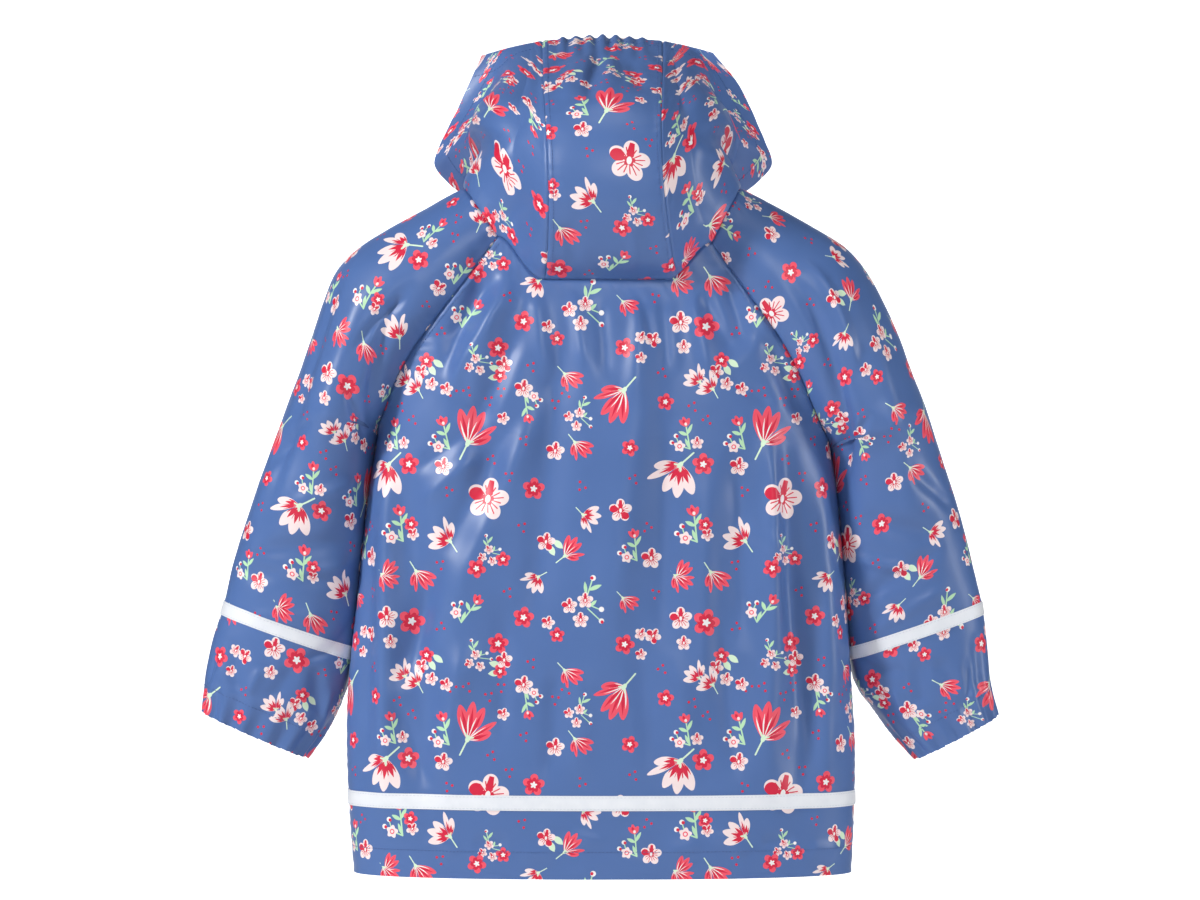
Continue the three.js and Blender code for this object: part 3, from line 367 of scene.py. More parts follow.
def where_vector(test, yes, no):
    return np.where(test[..., None], yes, no)


def curve(places, values):
    """A smooth curve through values at rising places."""
    last = len(places) - 1
    index = np.arange(last + 1)
    before = np.maximum(index - 1, 0)
    after = np.minimum(index + 1, last)
    slopes = (values[after] - values[before]) / (places[after] - places[before])

    def at(place):
        place = np.clip(place, places[0], places[last])
        i = np.clip(np.searchsorted(places, place, side="left") - 1, 0, last - 1)
        span = places[i + 1] - places[i]
        f = (place - places[i]) / span
        g = 1 - f
        ends = values[i] * g * g * (1 + 2 * f) + values[i + 1] * f * f * (1 + 2 * g)
        return ends + span * f * g * (slopes[i] * g - slopes[i + 1] * f)

    return at


def curves(names, rows):
    data = np.array(rows, float)
    return {name: curve(data[:, 0], data[:, k]) for k, name in enumerate(names.split())}


def folds_at(folds, x, y, scale_x=1, scale_y=1):
    """How far the folds lift or sink the cloth at places x, y."""
    total = np.zeros(np.broadcast(x, y).shape)
    for x0, y0, x1, y1, width, rise in folds:
        ax, ay = x0 * scale_x, y0 * scale_y
        lx, ly = x1 * scale_x - ax, y1 * scale_y - ay
        along = ((x - ax) * lx + (y - ay) * ly) / (lx * lx + ly * ly)
        near = np.clip(along, 0, 1)
        away = np.hypot(x - ax - near * lx, y - ay - near * ly) / width
        fade = smooth(along, -0.1, 0.25) * (1 - smooth(along, 0.75, 1.1))
        total = total + rise * fade * np.exp(-away * away)
    return total


# The body

body = curves(BODY_COLUMNS, BODY)


def flattened(value):
    return np.sign(value) * np.abs(value) ** (2 / BODY_ROUNDNESS)


def body_point(angle, height):
    sideways, rearward = np.sin(angle), np.cos(angle)
    half_width = np.where(sideways >= 0, body["left"](height), body["right"](height))
    half_depth = np.where(rearward >= 0, body["back"](height), body["front"](height))
    return stacked(half_width * flattened(sideways), half_depth * flattened(rearward), height)


def body_angle(out, height, sign):
    half_width = body["left"](height) if sign > 0 else body["right"](height)
    return np.arcsin(np.clip(out / half_width, 0, 1) ** (BODY_ROUNDNESS / 2))


class Side:
    def __init__(self, sign, rows, folds):
        self.sign = sign
        self.table = curves(LEFT_SLEEVE_COLUMNS, rows)
        self.folds = folds


LEFT = Side(1, LEFT_SLEEVE, LEFT_SLEEVE_FOLDS)
RIGHT = Side(-1, RIGHT_SLEEVE, RIGHT_SLEEVE_FOLDS)
FAR_OUT = 1e6


def back_seam(side, station):
    height = side.table["inner_height"](station)
    reach = np.where(station >= RAGLAN_STEPS, FAR_OUT, side.table["inner"](station))
    return body_angle(reach, height, side.sign), height


def front_seam(side, station):
    near_neck = 1 - station / RAGLAN_STEPS
    height = side.table["inner_height"](station) - FRONT_SEAM_DROP * near_neck
    inner = side.table["inner"](station) - FRONT_SEAM_IN * near_neck
    reach = np.where(station >= RAGLAN_STEPS, FAR_OUT, inner)
    return math.pi - body_angle(reach, height, side.sign), height


def difference(point, u, v, du, dv):
    return point(u + du, v + dv) - point(u - du, v - dv)


SMALL_STEP = 1e-3


def face_normal(point, u, v):
    along_u = difference(point, u, v, SMALL_STEP, 0)
    along_v = difference(point, u, v, 0, SMALL_STEP)
    return unit(np.cross(along_u, along_v))


def lifted(point, u, v, rise):
    return point(u, v) + face_normal(point, u, v) * np.asarray(rise)[..., None]


def row_end(side, v, seam):
    """The angle and height at which a row of the body meets its side or raglan seam."""
    angle, height = seam(side, np.clip(RAGLAN_STEPS * (2 - v), 0, RAGLAN_STEPS))
    spare = seam(side, RAGLAN_STEPS)[1] - UNDERARM_HEIGHT
    low = v * UNDERARM_HEIGHT + v * v * spare
    return np.where(v > 1, angle, math.pi / 2), np.where(v > 1, height, low)


def row_height(end, underarm, v, neck, from_middle, flat):
    dip = 1 - smooth(np.abs(from_middle), flat, 1)
    return np.where(v <= 1, end, lerp(end, lerp(underarm, neck, v - 1), dip))


def back_point(u, v):
    u, v = np.broadcast_arrays(u, v)
    share = (u + 1) / 2
    left_angle, left_height = row_end(LEFT, v, back_seam)
    right_angle, right_height = row_end(RIGHT, v, back_seam)
    underarm = lerp(back_seam(RIGHT, RAGLAN_STEPS)[1], back_seam(LEFT, RAGLAN_STEPS)[1], share)
    height = row_height(
        lerp(right_height, left_height, share), underarm, v, NECK_BACK_HEIGHT, u, NECK_BACK_FLAT)
    angle = lerp(-right_angle, left_angle, share)
    clear = smooth(1 - np.abs(u), 0, 0.1) * (1 - smooth(v, 1.8, 1.98))
    rise = clear * folds_at(BACK_FOLDS, body_point(angle, height)[..., 0], height)
    return lifted(body_point, angle, height, -rise)


def front_point(side, u, v):
    """From the side and raglan seams, at 0, to the edge beyond the centre, at 1.

    The right front is the upper one.
    """
    u, v = np.broadcast_arrays(u, v)
    seam_angle, seam_height = row_end(side, v, front_seam)
    underarm = front_seam(side, RAGLAN_STEPS)[1]
    height = row_height(seam_height, underarm, v, NECK_FRONT_HEIGHT, 1 - u, NECK_FRONT_FLAT)
    beyond = math.pi + body_angle(LAP_REACH, height, -side.sign)
    angle = side.sign * lerp(seam_angle, beyond, u)
    across = body_point(angle, height)[..., 0]
    lap = 1 - smooth(side.sign * across, LAP_REACH, LAP_REACH + LAP_FADE)
    clear = smooth(u, 0, 0.1) * (1 - smooth(v, 1.8, 1.98)) * (1 - lap)
    rise = clear * folds_at(FRONT_FOLDS, across, height) - side.sign * lap * LAP_LIFT
    return lifted(body_point, angle, height, -rise)


# The sleeves

def sleeve_seam_point(side, seam, station):
    table = side.table
    across, height = side.sign * table["inner"](station), table["inner_height"](station)
    inside = stacked(across, table["middle"](station), height)
    angle, height = seam(side, np.minimum(station, RAGLAN_STEPS))
    beyond = np.clip(station - RAGLAN_STEPS, 0, 1)[..., None]
    return lerp(body_point(side.sign * angle, height), inside, beyond)


def smooth_sleeve_point(side, around, station):
    around, station = np.broadcast_arrays(around, station)
    table = side.table
    is_back = around < 0.5
    at_back = sleeve_seam_point(side, back_seam, station)
    start = where_vector(is_back, at_back, sleeve_seam_point(side, front_seam, station))
    middle = table["middle"](station)
    depth = table["depth"](station) * np.where(is_back, 1, -1)
    start_turn = np.arcsin(np.clip((start[..., 1] - middle) / depth, 0, 0.98))
    turn = lerp(start_turn, math.pi, np.where(is_back, 2 * around, 2 - 2 * around))
    across = (np.cos(start_turn) - np.cos(turn)) / (np.cos(start_turn) + 1)
    flatness = lerp(1, ARM_FLATNESS, smooth(station, RAGLAN_STEPS, RAGLAN_STEPS + 2))
    rearward = np.sin(turn)
    return stacked(
        lerp(start[..., 0], side.sign * table["outer"](station), across),
        middle + depth * np.sign(rearward) * np.abs(rearward) ** flatness,
        lerp(start[..., 2], table["outer_height"](station), across))


def sleeve_point(side, around, station):
    """From the back seam, at 0, over the arm to the front seam, at 1."""
    around, station = np.broadcast_arrays(around, station)
    gathering = smooth(station, CUFF_GATHER_START, SLEEVE_END)
    wave = np.cos(2 * math.pi * CUFF_GATHERS * around)
    uneven = 1 + 0.35 * np.sin(2 * math.pi * 3 * around + 1) * np.sin(2 * math.pi * around)
    gathers = CUFF_GATHER_DEPTH * gathering * wave * uneven
    clear = smooth(np.minimum(around, 1 - around), 0, 0.06) * smooth(station, 0.1, 1.2)
    units = SLEEVE_GIRTH, SLEEVE_STATION_LENGTH
    folds = folds_at(side.folds, around * units[0], station * units[1], *units)
    rise = side.sign * (gathers + clear * folds)
    return lifted(partial(smooth_sleeve_point, side), around, station, rise)


# The hood

def hood_neck_point(side, place):
    """The neckline of one side of the hood, by the raglan seams, at 1 and 2, to its front end, at 3."""
    place = np.asarray(place, float)
    on_back = back_point(lerp(side.seam_share, side.sign, np.clip(place, 0, 1)), np.full(place.shape, 2.0))
    on_sleeve = sleeve_point(side, np.clip(place - 1, 0, 1), np.zeros(place.shape))
    on_front = front_point(side, np.clip(place - 2, 0, 1.01) * HOOD_FRONT_END, np.full(place.shape, 2.0))
    return where_vector(place < 1, on_back, where_vector(place < 2, on_sleeve, on_front))


def neck_share(place):
    return np.interp(place, (0, 1, 2, 3), HOOD_NECK_SHARES)


def neck_place(share):
    return np.interp(share, HOOD_NECK_SHARES, (0, 1, 2, 3))


def hood_top_point(across):
    drop = HOOD_TOP_DROP * (across / HOOD_TOP_DROP_REACH) ** 2
    return stacked(across, HOOD_TOP_BACK, HOOD_TOP_HEIGHT - drop)


def hood_curve(rows, start, end, side):
    columns = dict(zip(HOOD_COLUMNS.split(), np.array(rows, float).T))
    aside = columns["left" if side.sign > 0 else "right"]
    places = np.concatenate([[0], columns["share"], [1]])
    points = np.stack([side.sign * aside, columns["back"], columns["height"]], -1)
    points = np.concatenate([start[None], points, end[None]])
    parts = [curve(places, points[:, k]) for k in range(3)]
    return lambda share: stacked(*(part(share) for part in parts))


# For each side: how far out the face edge's corner and the hood seam's top are, and where the seam
# stands on the neckline of the back.
HOOD_SIDES = ((LEFT, 103, 51, HOOD_SEAM_LEFT), (RIGHT, 95, 52, HOOD_SEAM_RIGHT))
for side, corner, seam_top, seam_share in HOOD_SIDES:
    side.seam_share = seam_share
    side.seam_top_x = side.sign * seam_top
    side.corner_x = side.sign * corner
    neck_ends = hood_neck_point(side, np.array([0.0, 3.0]))
    side.hood_seam = hood_curve(HOOD_SEAMS, neck_ends[0], hood_top_point(side.seam_top_x), side)
    side.face_edge = hood_curve(FACE_EDGE, neck_ends[1], hood_top_point(side.corner_x), side)


def patch_point(bottom, top, start, end, across, up):
    s, t = across[..., None], up[..., None]
    zero, one = np.zeros(across.shape), np.ones(across.shape)
    edges = bottom(across) * (1 - t) + top(across) * t + start(up) * (1 - s) + end(up) * s
    corners = bottom(zero) * (1 - s) * (1 - t) + bottom(one) * s * (1 - t)
    return edges - corners - top(zero) * (1 - s) * t - top(one) * s * t


def hood_side_point(side, place, up):
    place, up = np.broadcast_arrays(np.asarray(place, float), np.asarray(up, float))
    share = neck_share(place)
    point = patch_point(
        lambda s: hood_neck_point(side, neck_place(s)),
        lambda s: hood_top_point(lerp(side.seam_top_x, side.corner_x, s)),
        side.hood_seam, side.face_edge, share, up)
    wave = HUMP_SCALE * np.sin(math.pi * share)
    low = wave * up * (1 - up) ** 2
    tuck = HOOD_SIDE_TUCK * wave * up ** 2 * (1 - up)
    flatter = 16 * np.sin(math.pi * share) * up ** 2 * (1 - up) ** 2
    clear = smooth(share, 0, 0.08) * smooth(up, 0, 0.1)
    folds = clear * folds_at(HOOD_FOLDS, point[..., 0], point[..., 2])
    point[..., 0] += side.sign * (HOOD_SHOULDER_BULGE * low - tuck - HOOD_SIDE_PRESS * flatter + folds)
    point[..., 2] += HOOD_SHOULDER_LIFT * low - HOOD_SIDE_DROP * flatter
    return point


def hood_outward(up):
    along = LEFT.hood_seam(np.minimum(up + SMALL_STEP, 1)) - LEFT.hood_seam(np.maximum(up - SMALL_STEP, 0))
    return unit(stacked(0, along[..., 2], -along[..., 1]))


def hood_centre_point(across, up):
    across, up = np.broadcast_arrays(np.asarray(across, float), np.asarray(up, float))
    point = patch_point(
        lambda s: back_point(lerp(HOOD_SEAM_RIGHT, HOOD_SEAM_LEFT, s), np.full(s.shape, 2.0)),
        lambda s: hood_top_point(lerp(RIGHT.seam_top_x, LEFT.seam_top_x, s)),
        RIGHT.hood_seam, LEFT.hood_seam, (across + 1) / 2, up)
    crown = HOOD_CROWN * (1 - across * across) * np.sin(math.pi * up)
    clear = 1 - across ** 8
    gathering = smooth(up, HOOD_GATHER_START, 1) * smooth(1 - np.abs(across), 0.12, 0.4)
    uneven = 1 + 0.3 * np.sin(7 * across + 2)
    gathers = HOOD_GATHER_DEPTH * gathering * uneven * np.cos(math.pi * HOOD_GATHERS * across)
    folds = clear * smooth(up, 0, 0.2) * folds_at(HOOD_FOLDS, point[..., 0], point[..., 2])
    return point + hood_outward(up) * (crown + folds + gathers)[..., None]


# Panels: each is a function of two numbers that gives the points of its outer face.

class Panel:
    def __init__(self, name, point, sample, inside):
        self.name = name
        self.point = point
        self.turn = 1
        u, v = (np.array(float(s)) for s in sample)
        self.turn = np.sign(np.dot(self.inward(u, v), np.array(inside, float) - point(u, v)))
        self.neighbours = {}

    def inward(self, u, v):
        return face_normal(self.point, u, v) * self.turn


INSIDE_BODY = (0, 0, 300)
INSIDE_HOOD = (0, 10, 600)
back = Panel("back", back_point, (0, 0.5), INSIDE_BODY)
hood_centre = Panel("hood_centre", hood_centre_point, (0, 0.5), INSIDE_HOOD)
for name, side in (("left", LEFT), ("right", RIGHT)):
    inside_arm = (side.sign * 255, -8, 250)
    side.front = Panel(f"front_{name}", partial(front_point, side), (0.4, 0.5), INSIDE_BODY)
    side.sleeve = Panel(f"sleeve_{name}", partial(sleeve_point, side), (0.25, 12), inside_arm)
    side.hood_side = Panel(f"hood_side_{name}", partial(hood_side_point, side), (1.3, 0.5), INSIDE_HOOD)


def level(like, value):
    return np.full(like.shape, float(value))


def hood_over_back(u, v):
    zero = level(u, 0)
    left = LEFT.hood_side.inward(np.clip((u - HOOD_SEAM_LEFT) / (1 - HOOD_SEAM_LEFT), 0, 1), zero)
    right = RIGHT.hood_side.inward(np.clip((u - HOOD_SEAM_RIGHT) / (-1 - HOOD_SEAM_RIGHT), 0, 1), zero)
    share = (u - HOOD_SEAM_RIGHT) / (HOOD_SEAM_LEFT - HOOD_SEAM_RIGHT)
    middle = hood_centre.inward(np.clip(2 * share - 1, -1, 1), zero)
    return where_vector(u > HOOD_SEAM_LEFT, left, where_vector(u < HOOD_SEAM_RIGHT, right, middle))


def body_under_hood(side, place, v):
    on_back = back.inward(lerp(side.seam_share, side.sign, np.clip(place, 0, 1)), level(place, 2))
    on_sleeve = side.sleeve.inward(np.clip(place - 1, 0, 1), level(place, 0))
    on_front = side.front.inward(np.clip(place - 2, 0, 1) * HOOD_FRONT_END, level(place, 2))
    return where_vector(place < 1, on_back, where_vector(place < 2, on_sleeve, on_front))


def station_of(v):
    return np.clip(RAGLAN_STEPS * (2 - v), 0, RAGLAN_STEPS)


def row_of(station):
    return 2 - np.clip(station, 0, RAGLAN_STEPS) / RAGLAN_STEPS


def beside_body(side, around, other, other_u):
    """What lies beyond the side of a body panel: the sleeve above the underarm, the other panel below."""
    def at(u, v):
        above = side.sleeve.inward(level(v, around), station_of(v))
        below = other.inward(level(v, other_u), np.minimum(v, 1))
        return where_vector(v > 1, above, below)
    return at


def beside_sleeve(side, body_panel, body_u, other_around):
    def at(u, v):
        above = body_panel.inward(level(v, body_u), row_of(v))
        below = side.sleeve.inward(level(v, other_around), np.maximum(v, RAGLAN_STEPS))
        return where_vector(v < RAGLAN_STEPS, above, below)
    return at


def beside_strip(u, v):
    return back.inward(lerp(HOOD_SEAM_RIGHT, HOOD_SEAM_LEFT, (u + 1) / 2), level(u, 2))


back.neighbours = {
    "start": beside_body(RIGHT, 0, RIGHT.front, 0),
    "end": beside_body(LEFT, 0, LEFT.front, 0),
    "high": hood_over_back,
}
hood_centre.neighbours = {
    "start": lambda u, v: RIGHT.hood_side.inward(level(v, 0), v),
    "end": lambda u, v: LEFT.hood_side.inward(level(v, 0), v),
    "low": beside_strip,
}


def join_side(side):
    """Tells the panels of one side what lies beyond each of their seams."""
    side.front.neighbours = {
        "start": beside_body(side, 1, back, side.sign),
        "high": lambda u, v: side.hood_side.inward(2 + np.clip(u / HOOD_FRONT_END, 0, 1), level(u, 0)),
    }
    side.sleeve.neighbours = {
        "start": beside_sleeve(side, back, side.sign, 1),
        "end": beside_sleeve(side, side.front, 0, 0),
        "low": lambda u, v: side.hood_side.inward(1 + u, level(u, 0)),
    }
    side.hood_side.neighbours = {
        "start": lambda u, v: hood_centre.inward(level(v, side.sign), v),
        "low": lambda u, v: body_under_hood(side, u, v),
    }


join_side(LEFT)
join_side(RIGHT)


def divided(length, pitch=CLOTH_PITCH, start=True, end=True):
    """Shares 0 to 1 along a length of cloth, closer together beside a seam."""
    near = [0.0, *SEAM_PLACES]
    low = near if start else [0.0]
    high = [length - place for place in reversed(near)] if end else [length]
    count = max(2, round((high[0] - low[-1]) / pitch))
    middle = np.linspace(low[-1], high[0], count + 1)[1:-1]
    return np.array([*low, *middle, *high]) / length


def distances(points, axis):
    """Lengths along the rows or columns of a grid of points, from its start."""
    step = np.linalg.norm(np.diff(points, axis=axis), axis=-1)
    pad = [(0, 0), (0, 0)]
    pad[axis] = (1, 0)
    return np.pad(np.cumsum(step, axis=axis), pad)


def wrinkle(points, scale, seed):
    """Soft uneven waves over the cloth, between about -1 and 1."""
    rng = np.random.default_rng(seed)
    total = np.zeros(points.shape[:-1])
    for _ in range(7):
        direction = unit(rng.normal(size=3) * np.array((1.0, 1.0, 0.55)))
        phase = rng.uniform(0, 2 * math.pi)
        bend = rng.normal(size=3) * 0.02
        wave = points @ direction / scale * 2 * math.pi * rng.uniform(0.6, 1.5)
        total += np.sin(wave + phase + 1.4 * np.sin(points @ bend + phase))
    return total / 7


# Each kind of wrinkle: its height, its scale and its seed.
WRINKLES = ((0.35, 46, 5), (0.16, 17, 8))
SEAM_GROOVE = 0.75
GROOVE_WIDTH = 0.9
SEAM_SWELL = 0.3
SWELL_MIDDLE = 3.2
SWELL_WIDTH = 2.2
PUCKER = 0.35
PUCKER_REACH = 9
PUCKER_LENGTH = 12
PUCKER_START = 2
CALM_REACH = 6


def seam_relief(away, along):
    """The groove of a seam, the swell beside it and the puckers across it."""
    groove = -SEAM_GROOVE * np.exp(-(away / GROOVE_WIDTH) ** 2)
    swell = SEAM_SWELL * np.exp(-((away - SWELL_MIDDLE) / SWELL_WIDTH) ** 2)
    phase = 2 * math.pi * along / PUCKER_LENGTH
    ripple = np.sin(phase + 1.8 * np.sin(phase * 0.23 + 1))
    fade = np.exp(-away / PUCKER_REACH)
    return groove + swell + PUCKER * ripple * fade * (1 - np.exp(-(away / PUCKER_START) ** 2))


def finished(panel, us, vs):
    """Works out the panel's grid: its outer points with their finest relief, and its inward vectors."""
    u, v = np.meshgrid(us, vs)
    points = panel.point(u, v)
    inward = panel.inward(u, v)
    across = distances(points, 1)
    up = distances(points, 0)
    panel.us, panel.vs = us, vs
    panel.across, panel.up = across, up
    edges = {
        "start": (slice(None), 0, across),
        "end": (slice(None), -1, across[:, -1:] - across),
        "low": (0, slice(None), up),
        "high": (-1, slice(None), up[-1:] - up),
    }
    toward = {"start": (0, 1), "end": (0, -2), "low": (1, 0), "high": (-2, 0)}
    relief = sum(height * wrinkle(points, scale, seed) for height, scale, seed in WRINKLES)
    shift = np.zeros(points.shape)
    for name, (rows, columns, away) in edges.items():
        if name not in panel.neighbours:
            continue
        met = panel.neighbours[name](u[rows, columns], v[rows, columns])
        is_met = np.ones(met.shape[:-1], bool)
        if name == "high" and "front" in panel.name:
            is_met = us <= HOOD_FRONT_END + 1e-6
        own = inward[rows, columns]
        inward[rows, columns] = where_vector(is_met, own + met, own)
        if name in ("start", "end"):
            interior = points[:, toward[name][1]] - points[:, columns]
            along, reach = up, 1
        else:
            interior = points[toward[name][0]] - points[rows]
            along, reach = across, np.where(is_met, 1, 0)[None, :]
        shift[rows, columns] += unit(interior) * STAND_BACK * is_met[..., None]
        calm = 1 - reach * np.exp(-(away / CALM_REACH) ** 2)
        relief = relief * calm + reach * seam_relief(away, along)
    inward = unit(inward)
    panel.points = points + shift - inward * relief[..., None]
    panel.inward_grid = inward
    panel.u_grid, panel.v_grid = u, v


# u and v run over each panel, closer together at its seams.
def body_rows():
    low = divided(UNDERARM_HEIGHT, start=False, end=False)
    high = 1 + divided(RAGLAN_LENGTH, start=False)
    return np.concatenate([low, high[1:]])


def sleeve_stations():
    above = RAGLAN_STEPS * divided(RAGLAN_LENGTH, end=False)
    below = (SLEEVE_END - RAGLAN_STEPS) * divided(LOWER_ARM_LENGTH, start=False, end=False)
    return np.concatenate([above, RAGLAN_STEPS + below[1:]])


BODY_ROWS = body_rows()
finished(back, 2 * divided(BACK_WIDTH) - 1, BODY_ROWS)
for side in (LEFT, RIGHT):
    finished(side.front, divided(FRONT_WIDTH, end=False), BODY_ROWS)
    finished(side.sleeve, divided(SLEEVE_GIRTH, FINE_PITCH), sleeve_stations())
    places = neck_place(divided(HOOD_SIDE_WIDTH, end=False))
    finished(side.hood_side, places, divided(HOOD_SIDE_LENGTH, end=False))
across = 2 * divided(HOOD_CENTRE_WIDTH, FINEST_PITCH) - 1
finished(hood_centre, across, divided(HOOD_CENTRE_LENGTH, FINE_PITCH, end=False))


# The flat cloth: places in the cut pieces, in units of the print's chart, with y downward.

CHART_UNIT = 0.84
CENTRE_X = 602
HEM_Y = 871
TRUE_WIDTH_FROM = (140, 180)
SLEEVE_BACK = 0.25
HOOD_SEEN_SHARE = 0.6

# Where the print stands on each side's front, sleeve and hood side, and on the hood's centre.
LEFT.print_at = {"front": (391, 1052), "sleeve": (396, 384), "hood": (545, 280)}
RIGHT.print_at = {"front": (283, 944), "sleeve": (846, 400), "hood": (664, 295)}
HOOD_CENTRE_PRINT = (468, 635)


def middle_column(panel, u):
    return int(np.argmin(np.abs(panel.us - u)))


def flat_body(panel):
    """Level rows: widths are true lengths near the sides, and the print isn't squeezed at the middle."""
    step = np.diff(panel.points[..., 0], axis=1)
    length = np.diff(panel.across, axis=1)
    middle = (panel.points[:, 1:, 0] + panel.points[:, :-1, 0]) / 2
    outer = smooth(np.abs(middle), *TRUE_WIDTH_FROM)
    flat = np.cumsum(np.sign(step) * lerp(np.abs(step), length, outer), axis=1)
    flat = np.pad(flat, ((0, 0), (1, 0)))
    at = middle_column(panel, 0) if panel is back else int(np.argmin(np.abs(panel.points[0, :, 0])))
    return flat - flat[:, at:at + 1] + panel.points[:, at:at + 1, 0]


def place_print(panel, start, right, up):
    """The print's places on a panel: right and up are lengths on the cloth, as the print lies on it."""
    x, y = np.broadcast_arrays(start[0] + right / CHART_UNIT, start[1] - up / CHART_UNIT)
    panel.chart = np.stack([x, y], -1)


place_print(back, (CENTRE_X, HEM_Y), -flat_body(back), back.points[..., 2])
for side in (LEFT, RIGHT):
    panel = side.front
    place_print(panel, side.print_at["front"], flat_body(panel), panel.points[..., 2])

    # The sleeves' print runs down the arm, and the hood's up its back.
    panel = side.sleeve
    at = middle_column(panel, SLEEVE_BACK)
    right = -side.sign * (panel.across - panel.across[:, at:at + 1])
    place_print(panel, side.print_at["sleeve"], right, -panel.up[:, at:at + 1])

    # The hood's side turns away from the back, and its print keeps some of its width as seen from there.
    panel = side.hood_side
    seen = np.abs(panel.points[..., 0] - panel.points[:, :1, 0])
    right = -side.sign * lerp(panel.across, seen, HOOD_SEEN_SHARE)
    place_print(panel, side.print_at["hood"], right, (panel.up[:, :1] + panel.up) / 2)
at = middle_column(hood_centre, 0)
right = hood_centre.across[:, at:at + 1] - hood_centre.across
place_print(hood_centre, HOOD_CENTRE_PRINT, right, hood_centre.up[:, at:at + 1])


# The print: a small repeat of flowers, charted. Places are in chart units, y downward, and
# directions are degrees clockwise from straight up.

TILE = 290
RED, PINK = 0, 1

# Opening tulips and lotus flowers: base, direction, length, colour.
FANS = [
    (470, 444, 20, 38, RED),
    (624, 681, 215, 36, RED),
    (679, 464, 222, 38, PINK),
    (453, 540, 320, 27, PINK),
    (583, 513, 130, 21, PINK),
    (540, 574, 235, 20, PINK),
    (408, 674, 330, 20, PINK),
    (421, 391, 325, 21, PINK),
    (575, 442, 135, 21, RED),
    (565, 554, 45, 23, RED),
    (418, 569, 140, 24, RED),
    (385, 575, 50, 20, RED),
    (622, 594, 130, 18, RED),
    (565, 665, 130, 21, RED),
    (673, 572, 130, 21, RED),
]

# Round flowers: middle, direction, radius, colour, and how many petals are filled with crimson.
BLOSSOMS = [
    (490, 498, 13, 21, PINK, 1),
    (411, 464, 0, 11, RED, 0),
    (629, 448, 20, 8.5, RED, 0),
    (664, 403, 10, 8.5, RED, 0),
    (535, 488, 5, 11, RED, 0),
    (413, 523, 15, 7.5, RED, 0),
    (505, 557, 0, 7.5, RED, 0),
    (479, 566, 30, 9.5, RED, 0),
    (525, 614, 10, 10.5, RED, 0),
    (558, 631, 0, 7.5, RED, 0),
    (414, 619, 15, 13.5, RED, 0),
    (500, 640, 5, 10.5, RED, 0),
    (624, 640, 20, 10, RED, 0),
    (446, 466, 10, 9.5, PINK, 1),
    (405, 443, 0, 6.5, PINK, 0),
    (505, 419, 20, 6.5, PINK, 1),
    (556, 451, 8, 9.5, PINK, 1),
    (449, 390, 12, 7, PINK, 1),
    (525, 390, 10, 9.5, PINK, 1),
    (415, 533, 30, 6.5, PINK, 1),
    (650, 556, 5, 10.5, PINK, 1),
    (549, 619, 15, 7, PINK, 1),
    (679, 615, 0, 11.5, PINK, 1),
    (392, 639, 0, 7.5, PINK, 0),
    (640, 630, 25, 6.5, PINK, 0),
    (640, 650, 5, 6, PINK, 1),
    (434, 675, 15, 7, PINK, 0),
    (620, 509, 0, 11.5, PINK, 2),
    (547, 540, 10, 9.5, PINK, 2),
    (652, 632, 30, 8, PINK, 2),
    (506, 656, 0, 8.5, PINK, 2),
    (502, 667, 40, 7, RED, 0),
    (429, 652, 0, 8, RED, 0),
    (424, 663, 30, 7.5, PINK, 2),
]

# Sprigs with a red bud at the tip: foot and tip.
SPRIGS = [
    (452, 449, 445, 422),
    (398, 449, 393, 423),
    (405, 540, 401, 510),
    (636, 558, 633, 532),
    (464, 619, 480, 597),
    (526, 685, 530, 709),
]

# Clusters of three flowers with buds: middle, direction, size.
CLUSTERS = [
    (584, 599, 0, 20),
    (579, 415, 0, 13.5),
    (491, 549, 330, 12),
    (478, 652, 325, 12.5),
]

# Groups of tiny dots, and the pairs of leaves beside some flowers.
DOTS = [
    (470, 393, 10), (503, 393, 40), (415, 421, 0), (526, 441, 20), (494, 460, 5), (511, 476, 35),
    (451, 491, 60), (582, 485, 200), (633, 479, 10), (524, 526, 25), (646, 526, 80), (443, 563, 30),
    (510, 590, 15), (654, 591, 50), (443, 624, 100), (533, 659, 20), (661, 665, 0), (455, 683, 70),
    (491, 692, 30), (401, 698, 10), (556, 695, 45), (567, 395, 0),
]
DOT_GROUP = 5
CLEARANCE = 8
LEAVES = [(556, 546, 115), (496, 664, 250), (438, 659, 110)]
LEAF_PAIR = 9


def sprig(x, y, tip_x, tip_y):
    direction = math.degrees(math.atan2(tip_x - x, y - tip_y))
    return (x, y, direction, math.hypot(tip_x - x, tip_y - y), 0)


def wrapped(length):
    return (length + TILE / 2) % TILE - TILE / 2


def apart(motif, other):
    return math.hypot(wrapped(motif[0] - other[0]), wrapped(motif[1] - other[1]))


def is_crowded(motif, others):
    return any(apart(motif, other) < motif[3] + other[3] + CLEARANCE for other in others)


def layered(motifs):
    """Shares the round flowers between two layers, so that none crowds its neighbour in one layer."""
    layers = ([], [])
    for motif in motifs:
        layers[is_crowded(motif, layers[0])].append(motif)
    return layers


def with_code(motif, index):
    """Colour, filled petals and a share for small differences, in one number."""
    x, y, direction, radius, colour, filled = motif
    return (x, y, direction, radius, colour * 10 + filled + 0.1 * (index % 7))


first_layer, second_layer = layered([with_code(motif, i) for i, motif in enumerate(BLOSSOMS)])
dots = [(*row, DOT_GROUP, 0) for row in DOTS]
leaves = [(*row, LEAF_PAIR, 1) for row in LEAVES]
LAYERS = {
    "print_fan": FANS,
    "print_round": first_layer,
    "print_second": second_layer,
    "print_sprig": [sprig(*row) for row in SPRIGS],
    "print_cluster": [(*row, 0) for row in CLUSTERS],
    "print_dots": dots + leaves,
}
# The middle of each kind of motif, in its own size, where it is weighed against its neighbours.
MOTIF_MIDDLE = {"print_fan": 0.35, "print_sprig": 0.5}


